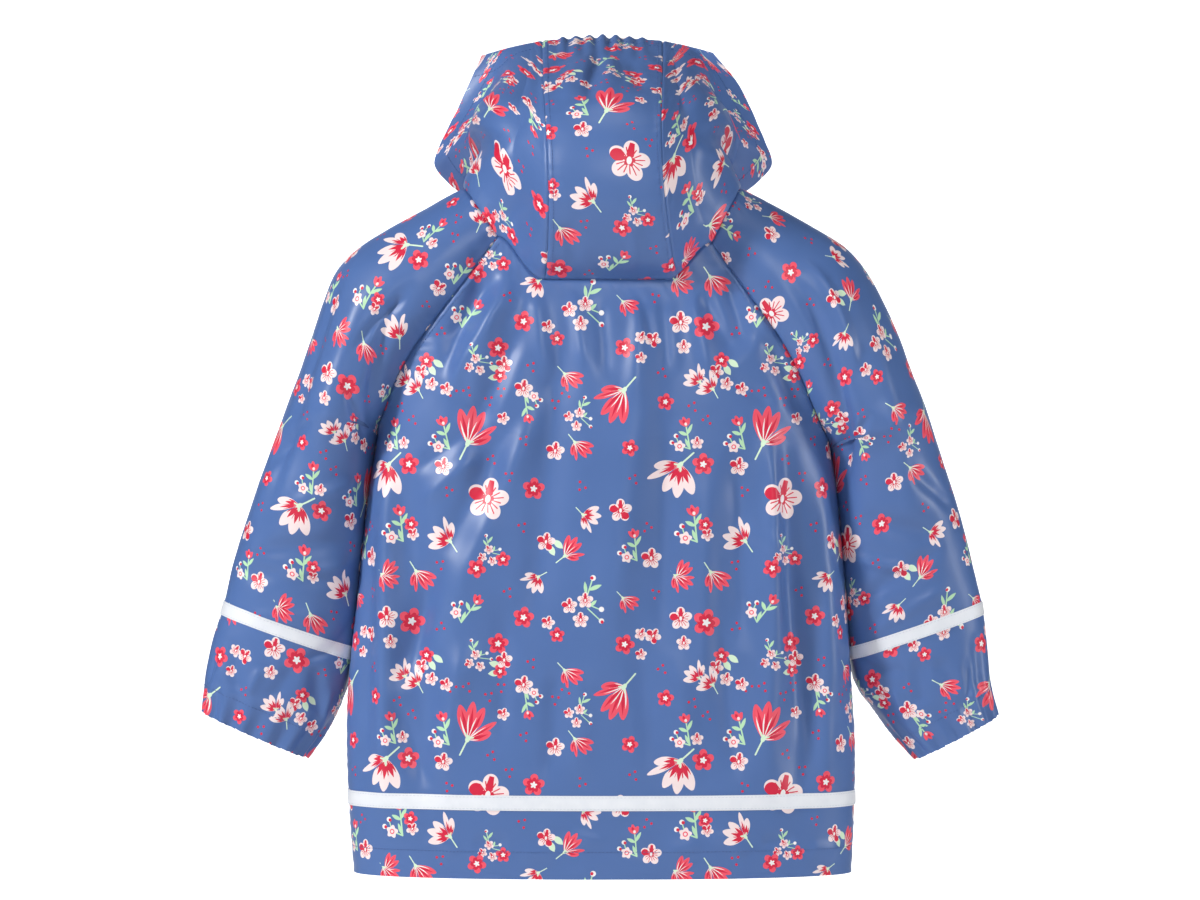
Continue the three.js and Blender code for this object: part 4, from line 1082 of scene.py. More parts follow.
def motif_places(name, centres, corners):
    """For each face the nearest motif of a layer, and the places of the face's corners in that motif."""
    rows = np.array(LAYERS[name], float)
    lift = MOTIF_MIDDLE.get(name, 0)
    turn = np.radians(rows[:, 2])
    middle = rows[:, :2] + (rows[:, 3] * lift)[:, None] * np.stack([np.sin(turn), -np.cos(turn)], -1)
    nearest = np.zeros(len(centres), int)
    offset = np.zeros((len(centres), 2))
    least = np.full(len(centres), np.inf)
    for i, (x, y) in enumerate(middle):
        away = centres - (x, y)
        wrap = np.round(away / TILE) * TILE
        reach = np.hypot(*(away - wrap).T) / rows[i, 3]
        closer = reach < least
        least[closer] = reach[closer]
        nearest[closer] = i
        offset[closer] = wrap[closer]
    row = rows[nearest]
    away = corners - (row[:, None, :2] + offset[:, None, :])
    turn = np.radians(row[:, 2])[:, None]
    right = away[..., 0] * np.cos(turn) + away[..., 1] * np.sin(turn)
    up = away[..., 0] * np.sin(turn) - away[..., 1] * np.cos(turn)
    size = row[:, 3][:, None]
    return np.stack([right / size, up / size, np.broadcast_to(row[:, 4][:, None], right.shape)], -1)


# Meshes

def in_metres(points):
    return (np.asarray(points, float) - (0, 0, ORIGIN_HEIGHT)) * MM


def add_mesh(name, points, faces, materials, slots=None):
    mesh = bpy.data.meshes.new(name)
    faces = np.asarray(faces)
    mesh.vertices.add(len(points))
    mesh.vertices.foreach_set("co", in_metres(points).ravel())
    size = faces.shape[1]
    mesh.loops.add(faces.size)
    mesh.loops.foreach_set("vertex_index", faces.ravel().astype(np.int32))
    mesh.polygons.add(len(faces))
    mesh.polygons.foreach_set("loop_start", (np.arange(len(faces)) * size).astype(np.int32))
    mesh.update(calc_edges=True)
    for material in materials:
        mesh.materials.append(material)
    if slots is not None:
        mesh.polygons.foreach_set("material_index", np.asarray(slots, np.int32))
    mesh.polygons.foreach_set("use_smooth", np.ones(len(faces), bool))
    mesh.validate()
    mesh.update()
    obj = bpy.data.objects.new(name, mesh)
    bpy.context.scene.collection.objects.link(obj)
    return obj


def grid_faces(rows, columns, first=0):
    start = (np.arange(rows - 1)[:, None] * columns + np.arange(columns - 1)[None, :] + first).ravel()
    return np.stack([start, start + 1, start + columns + 1, start + columns], -1)


def rim_faces(rows, columns, inside):
    low = np.arange(columns)
    end = np.arange(rows) * columns + columns - 1
    high = np.arange(columns)[::-1] + (rows - 1) * columns
    start = np.arange(rows)[::-1] * columns
    loop = np.concatenate([low[:-1], end[:-1], high[:-1], start[:-1]])
    after = np.roll(loop, -1)
    return np.stack([after, loop, loop + inside, after + inside], -1)


SHARP_ANGLE = math.radians(55)


def shell(name, outer, inner, materials):
    """A closed wall between two grids of points. Its outer faces have the first material."""
    rows, columns = outer.shape[:2]
    inside = rows * columns
    outside_faces = grid_faces(rows, columns)
    inside_faces = grid_faces(rows, columns, inside)[:, ::-1]
    faces = np.concatenate([outside_faces, inside_faces, rim_faces(rows, columns, inside)])
    middle = (rows // 2, columns // 2)
    a, b, c = outer[middle], outer[middle[0], middle[1] + 1], outer[middle[0] + 1, middle[1]]
    if np.dot(np.cross(b - a, c - a), outer[middle] - inner[middle]) < 0:
        faces = faces[:, ::-1]
    points = np.concatenate([outer.reshape(-1, 3), inner.reshape(-1, 3)])
    count = len(outside_faces)
    slots = np.zeros(len(faces), int)
    slots[count:2 * count] = len(materials) - 1
    obj = add_mesh(name, points, faces, materials, slots)
    obj.data.set_sharp_from_angle(angle=SHARP_ANGLE)
    return obj, faces


def at_corners(grid, faces):
    """The values at a shell's face corners, where its two grids share them."""
    return np.concatenate([grid.reshape(-1, 2)] * 2)[faces]


def add_flat(obj, flat):
    """The cloth's flat places at its face corners, kept in metres."""
    layer = obj.data.uv_layers.new(name="flat")
    layer.data.foreach_set("uv", (flat * MM).ravel().astype(np.float32))


def add_print(obj, faces, chart):
    """The print's motifs at the cloth's face corners."""
    corners = at_corners(chart, faces)
    add_flat(obj, corners * (CHART_UNIT, -CHART_UNIT))
    centres = corners.mean(1)
    for name in LAYERS:
        attribute = obj.data.attributes.new(name, "FLOAT_VECTOR", "CORNER")
        places = motif_places(name, centres, corners)
        attribute.data.foreach_set("vector", places.astype(np.float32).ravel())


# Shader nodes, written as sums

class Value:
    """A number or a vector inside a node tree. Sums of such values become Math nodes."""

    def __init__(self, net, socket):
        self.net, self.socket = net, socket

    def __abs__(self):
        return self.net.math("ABSOLUTE", self)


def add_operator(method, operation, swapped=False):
    def operator(self, other):
        values = (other, self) if swapped else (self, other)
        return self.net.math(operation, *values)
    setattr(Value, method, operator)


for sign, operation in (("add", "ADD"), ("sub", "SUBTRACT"), ("mul", "MULTIPLY")):
    add_operator(f"__{sign}__", operation)
    add_operator(f"__r{sign}__", operation, swapped=True)
add_operator("__truediv__", "DIVIDE")
add_operator("__lt__", "LESS_THAN")
add_operator("__gt__", "GREATER_THAN")


class Net:
    def __init__(self, tree):
        self.tree = tree

    def node(self, kind, **settings):
        node = self.tree.nodes.new(kind)
        for key, value in settings.items():
            setattr(node, key, value)
        return node

    def feed(self, socket, value):
        if isinstance(value, Value):
            self.tree.links.new(value.socket, socket)
        else:
            socket.default_value = value

    def math(self, operation, *values, clamp=False):
        node = self.node("ShaderNodeMath", operation=operation, use_clamp=clamp)
        for socket, value in zip(node.inputs, values):
            self.feed(socket, value)
        return Value(self, node.outputs[0])

    def length(self, x, y):
        return self.math("SQRT", x * x + y * y)

    def attribute(self, name):
        return Value(self, self.node("ShaderNodeAttribute", attribute_name=name).outputs["Vector"])

    def parts(self, vector):
        node = self.node("ShaderNodeSeparateXYZ")
        self.feed(node.inputs[0], vector)
        return tuple(Value(self, node.outputs[k]) for k in range(3))

    def all_of(self, *values):
        return reduce(lambda one, other: one * other, values)

    def any_of(self, *values):
        return reduce(lambda one, other: self.math("MAXIMUM", one, other), values)

    def mixed(self, share, colour, other, blend_type="MIX"):
        node = self.node("ShaderNodeMix", data_type="RGBA", blend_type=blend_type)
        self.feed(node.inputs[0], share)
        self.feed(node.inputs[6], colour)
        self.feed(node.inputs[7], other)
        return Value(self, node.outputs[2])

    def balls(self, x, y, *rows):
        """1 inside any of some ovals: each one's middle, half width and, if it isn't round, half height."""
        return self.any_of(*(self.ball(x, y, *row) for row in rows))

    def strokes(self, x, y, *rows):
        return self.any_of(*(self.stroke(x, y, *row) for row in rows))

    def ball(self, x, y, cx, cy, rx, ry=None):
        dx = (x - cx) / rx
        dy = (y - cy) / (ry or rx)
        return (dx * dx + dy * dy) < 1

    def stroke(self, x, y, x0, y0, x1, y1, thin, thick=0.0):
        """1 within a line from one place to another, which can swell in its middle as a leaf does."""
        lx, ly = x1 - x0, y1 - y0
        size = lx * lx + ly * ly
        along = self.math("ADD", (x - x0) * (lx / size), (y - y0) * (ly / size), clamp=True)
        away_x = x - x0 - along * lx
        away_y = y - y0 - along * ly
        width = thin + along * (1 - along) * (4 * thick)
        return self.length(away_x, away_y) < width


def linear(red, green, blue):
    """A display colour, 0 to 255, as the shader's own numbers."""
    def channel(value):
        value = value / 255
        return value / 12.92 if value <= 0.04045 else ((value + 0.055) / 1.055) ** 2.4
    return (channel(red), channel(green), channel(blue), 1.0)


BLUE = linear(80, 111, 168)
PALE_PINK = linear(246, 226, 226)
WHITE = linear(244, 240, 240)
CRIMSON = linear(214, 34, 66)
CORAL = linear(240, 84, 104)
MINT = linear(186, 226, 184)
PALE_MINT = linear(214, 238, 208)


# The petals of an opening flower, from left to right: direction in degrees, length and half width.
TULIP_PETALS = [(-32, 0.93, 0.14), (-11, 1.0, 0.135), (8, 0.94, 0.13), (39, 0.88, 0.085), (54, 0.64, 0.13)]
LOTUS_PETALS = [(-64, 0.84, 0.16), (-35, 0.88, 0.155), (-9, 0.84, 0.15), (25, 0.95, 0.09), (44, 0.7, 0.13)]
FAN_STEMS = [(0, 0.02, -0.11, 0.14, 0.022), (0, 0.02, 0.12, 0.1, 0.022), (0, 0, -0.05, -0.44, 0.022)]


def petal_column(net, theta, is_pink, column):
    """A column of the petal tables for the petal that holds a direction, which is in radians."""
    value = TULIP_PETALS[0][column] + is_pink * (LOTUS_PETALS[0][column] - TULIP_PETALS[0][column])
    for k in range(len(TULIP_PETALS) - 1):
        rises, limits = [], []
        for petals in (TULIP_PETALS, LOTUS_PETALS):
            rises.append(petals[k + 1][column] - petals[k][column])
            limits.append(math.radians(petals[k + 1][0] + petals[k][0]) / 2)
        beyond = theta > limits[0] + is_pink * (limits[1] - limits[0])
        value = value + beyond * (rises[0] + is_pink * (rises[1] - rises[0]))
    return value


def draw_fan(net, colour):
    """A tulip or lotus flower from the side: five pointed petals from a pale green foot, with a stem."""
    x, y, is_pink = net.parts(net.attribute("print_fan"))
    r = net.length(x, y)
    theta = net.math("ARCTAN2", x, y)
    turn = theta - petal_column(net, theta, is_pink, 0) * math.radians(1)
    t = net.math("DIVIDE", r * net.math("COSINE", turn), petal_column(net, theta, is_pink, 1), clamp=True)
    shape = net.math("POWER", net.math("SINE", net.math("POWER", t, 1.3) * math.pi), 0.62)
    width = net.math("MAXIMUM", shape * petal_column(net, theta, is_pink, 2), 0.0005)
    s = r * net.math("SINE", turn) / width
    petal = net.all_of(abs(s) < 1, abs(turn) < 1.2, t < 0.99)
    white = net.any_of(abs(s + 0.42) + t * 0.62 < 0.42, abs(s - 0.66) + t * 0.8 < 0.36)
    dark = abs(s - 0.15) + abs(t - 0.38) * 0.85 < 0.42
    red = net.mixed(dark, net.mixed(white, CORAL, WHITE), CRIMSON)
    middle = abs(s) * 0.85 + abs(t - 0.3) * 1.4 < 0.48
    beside = abs(abs(s) - 0.66) + abs(t - 0.26) * 1.1 < 0.3
    pale = net.mixed(net.any_of(middle, beside), PALE_PINK, CRIMSON)
    colour = net.mixed(petal, colour, net.mixed(is_pink, red, pale))
    foot = net.ball(x, y, 0, 0.02, 0.06, 0.1)
    stem = net.strokes(x, y, *FAN_STEMS)
    return net.mixed(net.any_of(foot, stem), colour, PALE_MINT)


BLOSSOM_PETALS = 5
PETAL_MIDDLE = 0.58
PETAL_RADIUS = 0.42
PETAL_SQUEEZE = 1.32
FILLED_RADIUS = 0.34
BLOSSOM_MIDDLE_RADIUS = 0.36


def blossom_ink(net, x, y, code):
    """A round flower of five petals: its mask and its colour."""
    is_pink = code > 9.5
    rest = code - is_pink * 10
    filled = net.math("FLOOR", rest + 0.001)
    r = net.length(x, y)
    theta = net.math("ARCTAN2", x, y)
    step = 2 * math.pi / BLOSSOM_PETALS
    n = net.math("ROUND", theta / step)
    turn = theta - n * step
    px = r * net.math("COSINE", turn)
    py = r * net.math("SINE", turn)
    dx = px - PETAL_MIDDLE
    d = net.math("SQRT", dx * dx + py * py * PETAL_SQUEEZE)
    mask = net.any_of(d < PETAL_RADIUS, r < BLOSSOM_MIDDLE_RADIUS)
    wave = net.math("SINE", theta * 5.0 + code * 3.0)
    # Red flowers: crimson near the middle and between the petals.
    between = net.all_of(abs(turn) > 0.46, r < 0.8)
    red = net.mixed(net.any_of(between, r < wave * 0.1 + 0.56), CORAL, CRIMSON)
    # Pink flowers: thin streaks, a wedge in the top petal and one or more petals filled.
    fine = abs(net.math("SINE", turn * 8.0)) < 0.84 - r * 0.8
    streak = net.all_of(fine, r < wave * 0.08 + 0.68)
    wedge = net.all_of(abs(n) < 0.5, abs(py) < 0.22 - r * 0.12, r < 0.88)
    low = py + 0.1
    full = net.length(dx, low) < FILLED_RADIUS
    first = net.all_of(abs(n + 1) < 0.5, filled > 0.5)
    second = net.all_of(abs(n - 2) < 0.5, filled > 1.5)
    core = r < wave * 0.05 + 0.26
    dark = net.any_of(streak, wedge, full * net.any_of(first, second), core)
    pale = net.mixed(dark, PALE_PINK, CRIMSON)
    ink = net.mixed(is_pink, red, pale)
    heart = net.any_of(net.ball(x, y, 0, 0, 0.12, 0.19), net.all_of(1 - is_pink, r < wave * 0.07 + 0.25))
    return mask, net.mixed(heart, ink, WHITE)


def draw_blossom(net, colour, layer):
    x, y, code = net.parts(net.attribute(layer))
    mask, ink = blossom_ink(net, x, y, code)
    return net.mixed(mask, colour, ink)


# A sprig: its stems, small branches and leaves, its three-lobed red bud, two small buds and a pale blossom.
SPRIG_GREEN = (
    (0, 0, 0.02, 0.9, 0.026),
    (0, 0, -0.3, 0.16, 0.024),
    (0, 0.54, 0.25, 0.88, 0.012, 0.05),
    (0, 0.52, -0.28, 0.7, 0.012, 0.055),
    (-0.02, 0.04, -0.1, 0.4, 0.012, 0.045),
    (-0.36, 0.2, -0.42, 0.55, 0.02),
    (-0.36, 0.2, -0.6, 0.34, 0.02),
)
SPRIG_LOBES = tuple((0.02, 0.88, x, y, 0.05, 0.04) for x, y in ((-0.16, 1.08), (-0.02, 1.16), (0.16, 1.08)))
SPRIG_BUDS = ((-0.42, 0.57, 0.085), (-0.62, 0.36, 0.085))
SPRIG_BUD_TIPS = ((-0.38, 0.55, 0.055), (-0.58, 0.34, 0.055))
SPRIG_BLOSSOM = (-0.36, 0.17)


def draw_sprig(net, colour):
    x, y, _ = net.parts(net.attribute("print_sprig"))
    colour = net.mixed(net.strokes(x, y, *SPRIG_GREEN), colour, MINT)
    colour = net.mixed(net.strokes(x, y, *SPRIG_LOBES), colour, CORAL)
    colour = net.mixed(net.stroke(x, y, -0.02, 0.98, -0.04, 1.08, 0.03, 0.02), colour, CRIMSON)
    colour = net.mixed(net.ball(x, y, 0.02, 0.93, 0.05, 0.06), colour, PALE_PINK)
    colour = net.mixed(net.balls(x, y, *SPRIG_BUDS), colour, WHITE)
    colour = net.mixed(net.balls(x, y, *SPRIG_BUD_TIPS), colour, CRIMSON)
    aside, above = x - SPRIG_BLOSSOM[0], y - SPRIG_BLOSSOM[1]
    away = net.length(aside, above)
    petals = net.math("SINE", net.math("ARCTAN2", aside, above) * 5.0) * 0.03 + 0.19
    colour = net.mixed(away < petals, colour, PALE_PINK)
    return net.mixed(net.all_of(away > 0.05, away < 0.085), colour, CORAL)


# A cluster: its stems and leaves, its buds, and three blossoms, each with its middle and its code.
CLUSTER_GREEN = (
    (0.1, 0.1, 0.42, 1.1, 0.035),
    (0.12, 0.4, 0.06, 1.0, 0.015, 0.07),
    (0.25, 0.6, 0.86, 0.86, 0.015, 0.09),
    (0.2, -0.1, 0.8, -0.34, 0.03),
    (0.3, -0.2, 0.62, 0.1, 0.015, 0.07),
    (0.2, -0.3, 0.8, -0.86, 0.03),
)
CLUSTER_BUDS = ((0.46, 1.2, 0.14), (0.87, -0.33, 0.13), (0.87, -0.9, 0.13))
CLUSTER_BUD_TIPS = ((0.4, 1.2, 0.08), (0.9, -0.95, 0.08))
CLUSTER_BLOSSOMS = ((-0.7, -0.17, 11.0), (-0.15, -0.86, 10.0), (0.08, 0.1, 10.0))
CLUSTER_BLOSSOM_SIZE = 0.4


def draw_cluster(net, colour):
    x, y, _ = net.parts(net.attribute("print_cluster"))
    colour = net.mixed(net.strokes(x, y, *CLUSTER_GREEN), colour, MINT)
    colour = net.mixed(net.balls(x, y, *CLUSTER_BUDS), colour, WHITE)
    colour = net.mixed(net.balls(x, y, *CLUSTER_BUD_TIPS), colour, CRIMSON)
    for cx, cy, code in CLUSTER_BLOSSOMS:
        own_x, own_y = (x - cx) / CLUSTER_BLOSSOM_SIZE, (y - cy) / CLUSTER_BLOSSOM_SIZE
        mask, ink = blossom_ink(net, own_x, own_y, net.math("ADD", code, 0.0))
        colour = net.mixed(mask, colour, ink)
    return colour


# A group of dots, and a pair of leaves.
DOT_BALLS = ((-0.85, 0.1, 0.26), (0.1, 0.85, 0.26), (0.55, -0.6, 0.26))
LEAF_STROKES = ((-0.7, -0.5, -0.35, 0.75, 0.05, 0.3), (0.0, -0.75, 0.75, 0.25, 0.05, 0.3))


def draw_dots(net, colour):
    x, y, is_leaf = net.parts(net.attribute("print_dots"))
    colour = net.mixed(net.balls(x, y, *DOT_BALLS) * (1 - is_leaf), colour, CRIMSON)
    return net.mixed(net.strokes(x, y, *LEAF_STROKES) * is_leaf, colour, PALE_MINT)


def new_material(name):
    material = bpy.data.materials.new(name)
    material.use_nodes = True
    tree = material.node_tree
    shader = tree.nodes["Principled BSDF"]
    return material, Net(tree), shader


def noise(net, vector, scale, detail=2.0):
    node = net.node("ShaderNodeTexNoise")
    net.feed(node.inputs["Vector"], vector)
    node.inputs["Scale"].default_value = scale
    node.inputs["Detail"].default_value = detail
    return Value(net, node.outputs["Fac"])


def bump(net, shader, height, distance, strength=1.0):
    node = net.node("ShaderNodeBump")
    node.inputs["Strength"].default_value = strength
    node.inputs["Distance"].default_value = distance
    net.feed(node.inputs["Height"], height)
    net.tree.links.new(node.outputs[0], shader.inputs["Normal"])


def flat_vector(net):
    return Value(net, net.node("ShaderNodeUVMap", uv_map="flat").outputs[0])


def object_place(net):
    return Value(net, net.node("ShaderNodeTexCoord").outputs["Object"])


def printed_cloth():
    material, net, shader = new_material("printed_cloth")
    flat = flat_vector(net)
    cloudy = noise(net, flat, 14)
    grain = noise(net, flat, 1400, 3.0)
    shade = net.math("MULTIPLY_ADD", cloudy, 0.16, 0.92)
    grey = net.node("ShaderNodeCombineColor")
    for k in range(3):
        net.feed(grey.inputs[k], shade)
    colour = net.mixed(1.0, BLUE, Value(net, grey.outputs[0]), "MULTIPLY")
    colour = draw_dots(net, colour)
    colour = draw_sprig(net, colour)
    colour = draw_cluster(net, colour)
    colour = draw_blossom(net, colour, "print_round")
    colour = draw_blossom(net, colour, "print_second")
    colour = draw_fan(net, colour)
    net.feed(shader.inputs["Base Color"], colour)
    net.feed(shader.inputs["Roughness"], net.math("MULTIPLY_ADD", grain, 0.12, 0.34))
    shader.inputs["Specular IOR Level"].default_value = 0.42
    bump(net, shader, grain, 0.0001, 0.35)
    return material


# In metres
RIB_PITCH = 0.0011
COURSE_PITCH = 0.0014
WEAVE_PITCH = 0.0009


def backing_cloth():
    """The knitted back of the coated cloth, which shows inside the hood, cuffs and hem."""
    material, net, shader = new_material("knitted_backing")
    flat = flat_vector(net)
    u, v, _ = net.parts(flat)
    rib = net.math("SINE", u * (2 * math.pi / RIB_PITCH)) * 0.5 + 0.5
    course = net.math("SINE", v * (2 * math.pi / COURSE_PITCH)) * 0.5 + 0.5
    knit = rib * 0.6 + course * 0.4
    tone = knit * 0.35 + noise(net, flat, 40) * 0.5
    net.feed(shader.inputs["Base Color"], net.mixed(tone, linear(52, 76, 124), linear(92, 120, 172)))
    shader.inputs["Roughness"].default_value = 0.86
    bump(net, shader, knit, 0.0002, 0.4)
    return material


def tape_cloth():
    material, net, shader = new_material("reflective_tape")
    flat = flat_vector(net)
    u, v, _ = net.parts(flat)
    turns = 2 * math.pi / WEAVE_PITCH
    weave = net.math("SINE", (u + v) * turns) * net.math("SINE", (u - v) * turns)
    tone = noise(net, flat, 90) * 0.6 + weave * 0.15 + 0.2
    net.feed(shader.inputs["Base Color"], net.mixed(tone, linear(222, 227, 236), linear(246, 248, 252)))
    net.feed(shader.inputs["Roughness"], net.math("MULTIPLY_ADD", noise(net, flat, 500), 0.16, 0.32))
    shader.inputs["Metallic"].default_value = 0.08
    bump(net, shader, weave, 0.00006, 0.5)
    return material


def thread_material(name, dark, pale):
    material, net, shader = new_material(name)
    place = object_place(net)
    net.feed(shader.inputs["Base Color"], net.mixed(noise(net, place, 900), dark, pale))
    shader.inputs["Roughness"].default_value = 0.6
    bump(net, shader, noise(net, place, 4000), 0.0001, 0.5)
    return material


def stud_metal():
    material, net, shader = new_material("stud_metal")
    place = object_place(net)
    speck = noise(net, place, 700, 3.0)
    net.feed(shader.inputs["Base Color"], net.mixed(speck, linear(176, 180, 188), linear(206, 209, 214)))
    net.feed(shader.inputs["Roughness"], net.math("MULTIPLY_ADD", speck, 0.2, 0.24))
    shader.inputs["Metallic"].default_value = 1.0
    bump(net, shader, speck, 0.0001, 0.15)
    return material


cloth = printed_cloth()
backing = backing_cloth()
tape_look = tape_cloth()
thread = thread_material("blue_thread", linear(58, 84, 138), linear(92, 120, 176))
pale_thread = thread_material("pale_thread", linear(196, 202, 214), linear(232, 236, 244))
metal = stud_metal()


# Panels

PANELS = [
    back, LEFT.front, RIGHT.front, LEFT.sleeve, RIGHT.sleeve, LEFT.hood_side, RIGHT.hood_side, hood_centre,
]


def add_piece(obj, node):
    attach(obj, "root")
    if node:
        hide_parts(node)
    return obj


# At a seam a wall is mitred, and its inner face moves further in, up to 1 / 0.7 of the wall.
LEAST_MITRE = 0.7
for panel in PANELS:
    own = panel.inward(panel.u_grid, panel.v_grid)
    mitre = np.clip((own * panel.inward_grid).sum(-1), LEAST_MITRE, 1)
    inner = panel.points + panel.inward_grid * (WALL / mitre)[..., None]
    obj, faces = shell(f"{panel.name}_cloth", panel.points, inner, [cloth, backing])
    add_print(obj, faces, panel.chart)
    add_piece(obj, panel.name)


def sampled(panel, grid, u, v):
    """A panel's grid of points or vectors at places between its rows and columns."""
    fu = np.interp(u, panel.us, np.arange(len(panel.us)))
    fv = np.interp(v, panel.vs, np.arange(len(panel.vs)))
    i, j = np.minimum(fu.astype(int), len(panel.us) - 2), np.minimum(fv.astype(int), len(panel.vs) - 2)
    s, t = (fu - i)[..., None], (fv - j)[..., None]
    low = grid[j, i] * (1 - s) + grid[j, i + 1] * s
    high = grid[j + 1, i] * (1 - s) + grid[j + 1, i + 1] * s
    return low * (1 - t) + high * t


def add_tape(panel, low, high, node):
    """A strip round a panel between two of its rows. Returns the lines of its two rows of stitches."""
    vs = np.linspace(low, high, TAPE_ROWS)
    u, v = np.meshgrid(panel.us, vs)
    points = sampled(panel, panel.points, u, v)
    inward = unit(sampled(panel, panel.inward_grid, u, v))
    # The strip's edges turn down a little, as its stitching holds them.
    rise = TAPE_GAP + TAPE_CROWN * np.sin(np.linspace(0, math.pi, TAPE_ROWS))[:, None, None]
    inner = points - inward * TAPE_GAP
    outer = points - inward * (rise + TAPE_WALL)
    obj, faces = shell(f"{node}_strip", outer, inner, [tape_look])
    flat = np.stack([distances(outer, 1), -distances(outer, 0)], -1)
    add_flat(obj, at_corners(flat, faces))
    add_piece(obj, node)
    lines = []
    for share in (TAPE_STITCH_SHARE, 1 - TAPE_STITCH_SHARE):
        at = np.full(panel.us.shape, lerp(low, high, share))
        place = sampled(panel, panel.points, panel.us, at)
        out = -unit(sampled(panel, panel.inward_grid, panel.us, at))
        lines.append((place + out * (TAPE_GAP + TAPE_WALL + STITCH_LIFT), out))
    return lines


STITCH = 2.3
STITCH_PITCH = 3.1
STITCH_START = 0.8
STITCH_LIFT = 0.1
STITCH_SINK = 0.12
# The section of a stitch, aside and up, and how far along it is full.
STITCH_SECTION = np.array([(0.6, 0.8), (-0.6, 0.8), (-0.6, -0.3), (0.6, -0.3)]) * 0.3375
STITCH_SHOULDERS = (0.22, 0.78)


def stitch_faces(first):
    """A spindle's faces: two rings of four points, at its shoulders, and its two ends."""
    faces = []
    for k in range(4):
        m = (k + 1) % 4
        faces += [(k, m, 4 + m), (k, 4 + m, 4 + k), (m, k, 8), (4 + k, 4 + m, 9)]
    return [tuple(first + corner for corner in face) for face in faces]


def stitches(lines):
    """Small stitches, each a thin spindle, along lines of points with their outward vectors."""
    all_points, all_faces = [], []
    for points, outward in lines:
        along = np.concatenate([[0], np.cumsum(np.linalg.norm(np.diff(points, axis=0), axis=1))])

        def at(values, place):
            return np.array([np.interp(place, along, values[:, k]) for k in range(3)])

        for start in np.arange(STITCH_START, along[-1] - STITCH, STITCH_PITCH):
            a, b = at(points, start), at(points, start + STITCH)
            up = unit(at(outward, start + STITCH / 2))
            aside = unit(np.cross(b - a, up))
            all_faces += stitch_faces(len(all_points))
            for share in STITCH_SHOULDERS:
                centre = lerp(a, b, share) + up * STITCH_LIFT
                all_points += [centre + aside * x + up * y for x, y in STITCH_SECTION]
            all_points += [a - up * STITCH_SINK, b - up * STITCH_SINK]
    return np.array(all_points), np.array(all_faces)


def beside(panel, edge, away, low=-math.inf, high=math.inf):
    """A line on the panel at a distance from one of its seams or edges, with its outward vectors."""
    lengths, places, points, inward = panel.across, panel.vs, panel.points, panel.inward_grid
    if edge in ("low", "high"):
        lengths, places = panel.up.T, panel.us
        points, inward = points.swapaxes(0, 1), inward.swapaxes(0, 1)
    count = lengths.shape[1]
    line, outward = [], []
    for row in np.flatnonzero((low <= places) & (places <= high)):
        place = away if edge in ("start", "low") else lengths[row, -1] - away
        f = np.interp(place, lengths[row], np.arange(count))
        i = min(int(f), count - 2)
        line.append(lerp(points[row, i], points[row, i + 1], f - i))
        outward.append(-lerp(inward[row, i], inward[row, i + 1], f - i))
    return np.array(line), unit(np.array(outward))


HEM_STITCH = 22.7
CASING_STITCH = 22.7
FACE_STITCH = 20
TOPSTITCH = 4.6
RAGLAN_ROWS = (1.02, 2)
BELOW_NECK = (0, 1.98)
BEYOND_NECK = (0.05, 1)


def tape_rows(middle, row_length):
    return (middle - TAPE_WIDTH / 2) / row_length, (middle + TAPE_WIDTH / 2) / row_length


body_tape = tape_rows(BODY_TAPE_HEIGHT, UNDERARM_HEIGHT)
sleeve_tape = tape_rows(SLEEVE_TAPE_STATION * SLEEVE_STATION_LENGTH, SLEEVE_STATION_LENGTH)
tape_lines = add_tape(back, *body_tape, "tape_back")
thread_lines = [
    beside(back, "low", HEM_STITCH),
    beside(back, "start", TOPSTITCH, *RAGLAN_ROWS),
    beside(back, "end", TOPSTITCH, *RAGLAN_ROWS),
    beside(hood_centre, "start", TOPSTITCH),
    beside(hood_centre, "end", TOPSTITCH),
    beside(hood_centre, "high", FACE_STITCH),
]
for name, side in (("left", LEFT), ("right", RIGHT)):
    tape_lines += add_tape(side.front, *body_tape, f"tape_front_{name}")
    tape_lines += add_tape(side.sleeve, *sleeve_tape, f"tape_sleeve_{name}")
    thread_lines += [
        beside(side.front, "low", HEM_STITCH),
        beside(side.front, "start", TOPSTITCH, *RAGLAN_ROWS),
        beside(side.front, "end", TOPSTITCH, *BELOW_NECK),
        beside(side.sleeve, "high", CASING_STITCH),
        beside(side.hood_side, "high", FACE_STITCH),
        beside(side.hood_side, "end", FACE_STITCH, *BEYOND_NECK),
    ]

add_piece(add_mesh("stitching", *stitches(thread_lines), [thread]), None)
add_piece(add_mesh("tape_stitching", *stitches(tape_lines), [pale_thread]), None)


# Press studs

def lathe(profile, count):
    angle = np.linspace(0, 2 * math.pi, count, endpoint=False)
    rings = [np.stack([r * np.cos(angle), r * np.sin(angle), np.full(count, z)], -1) for r, z in profile]
    points = np.concatenate(rings)
    faces = []
    for k in range(len(profile) - 1):
        for i in range(count):
            j = (i + 1) % count
            faces.append((k * count + i, k * count + j, (k + 1) * count + j, (k + 1) * count + i))
    return points, faces


# From the middle of the seat round the cap's edge to the middle of its face: radius and height.
STUD_PROFILE = [
    (0.02, 0.0), (5.9, 0.0), (6.3, 0.35), (6.5, 0.95), (6.3, 1.35), (5.8, 1.5),
    (5.2, 1.48), (4.6, 1.75), (3.4, 2.12), (1.8, 2.34), (0.02, 2.4),
]
STUD_GAP = 0.3
STUD_SIDES = 48


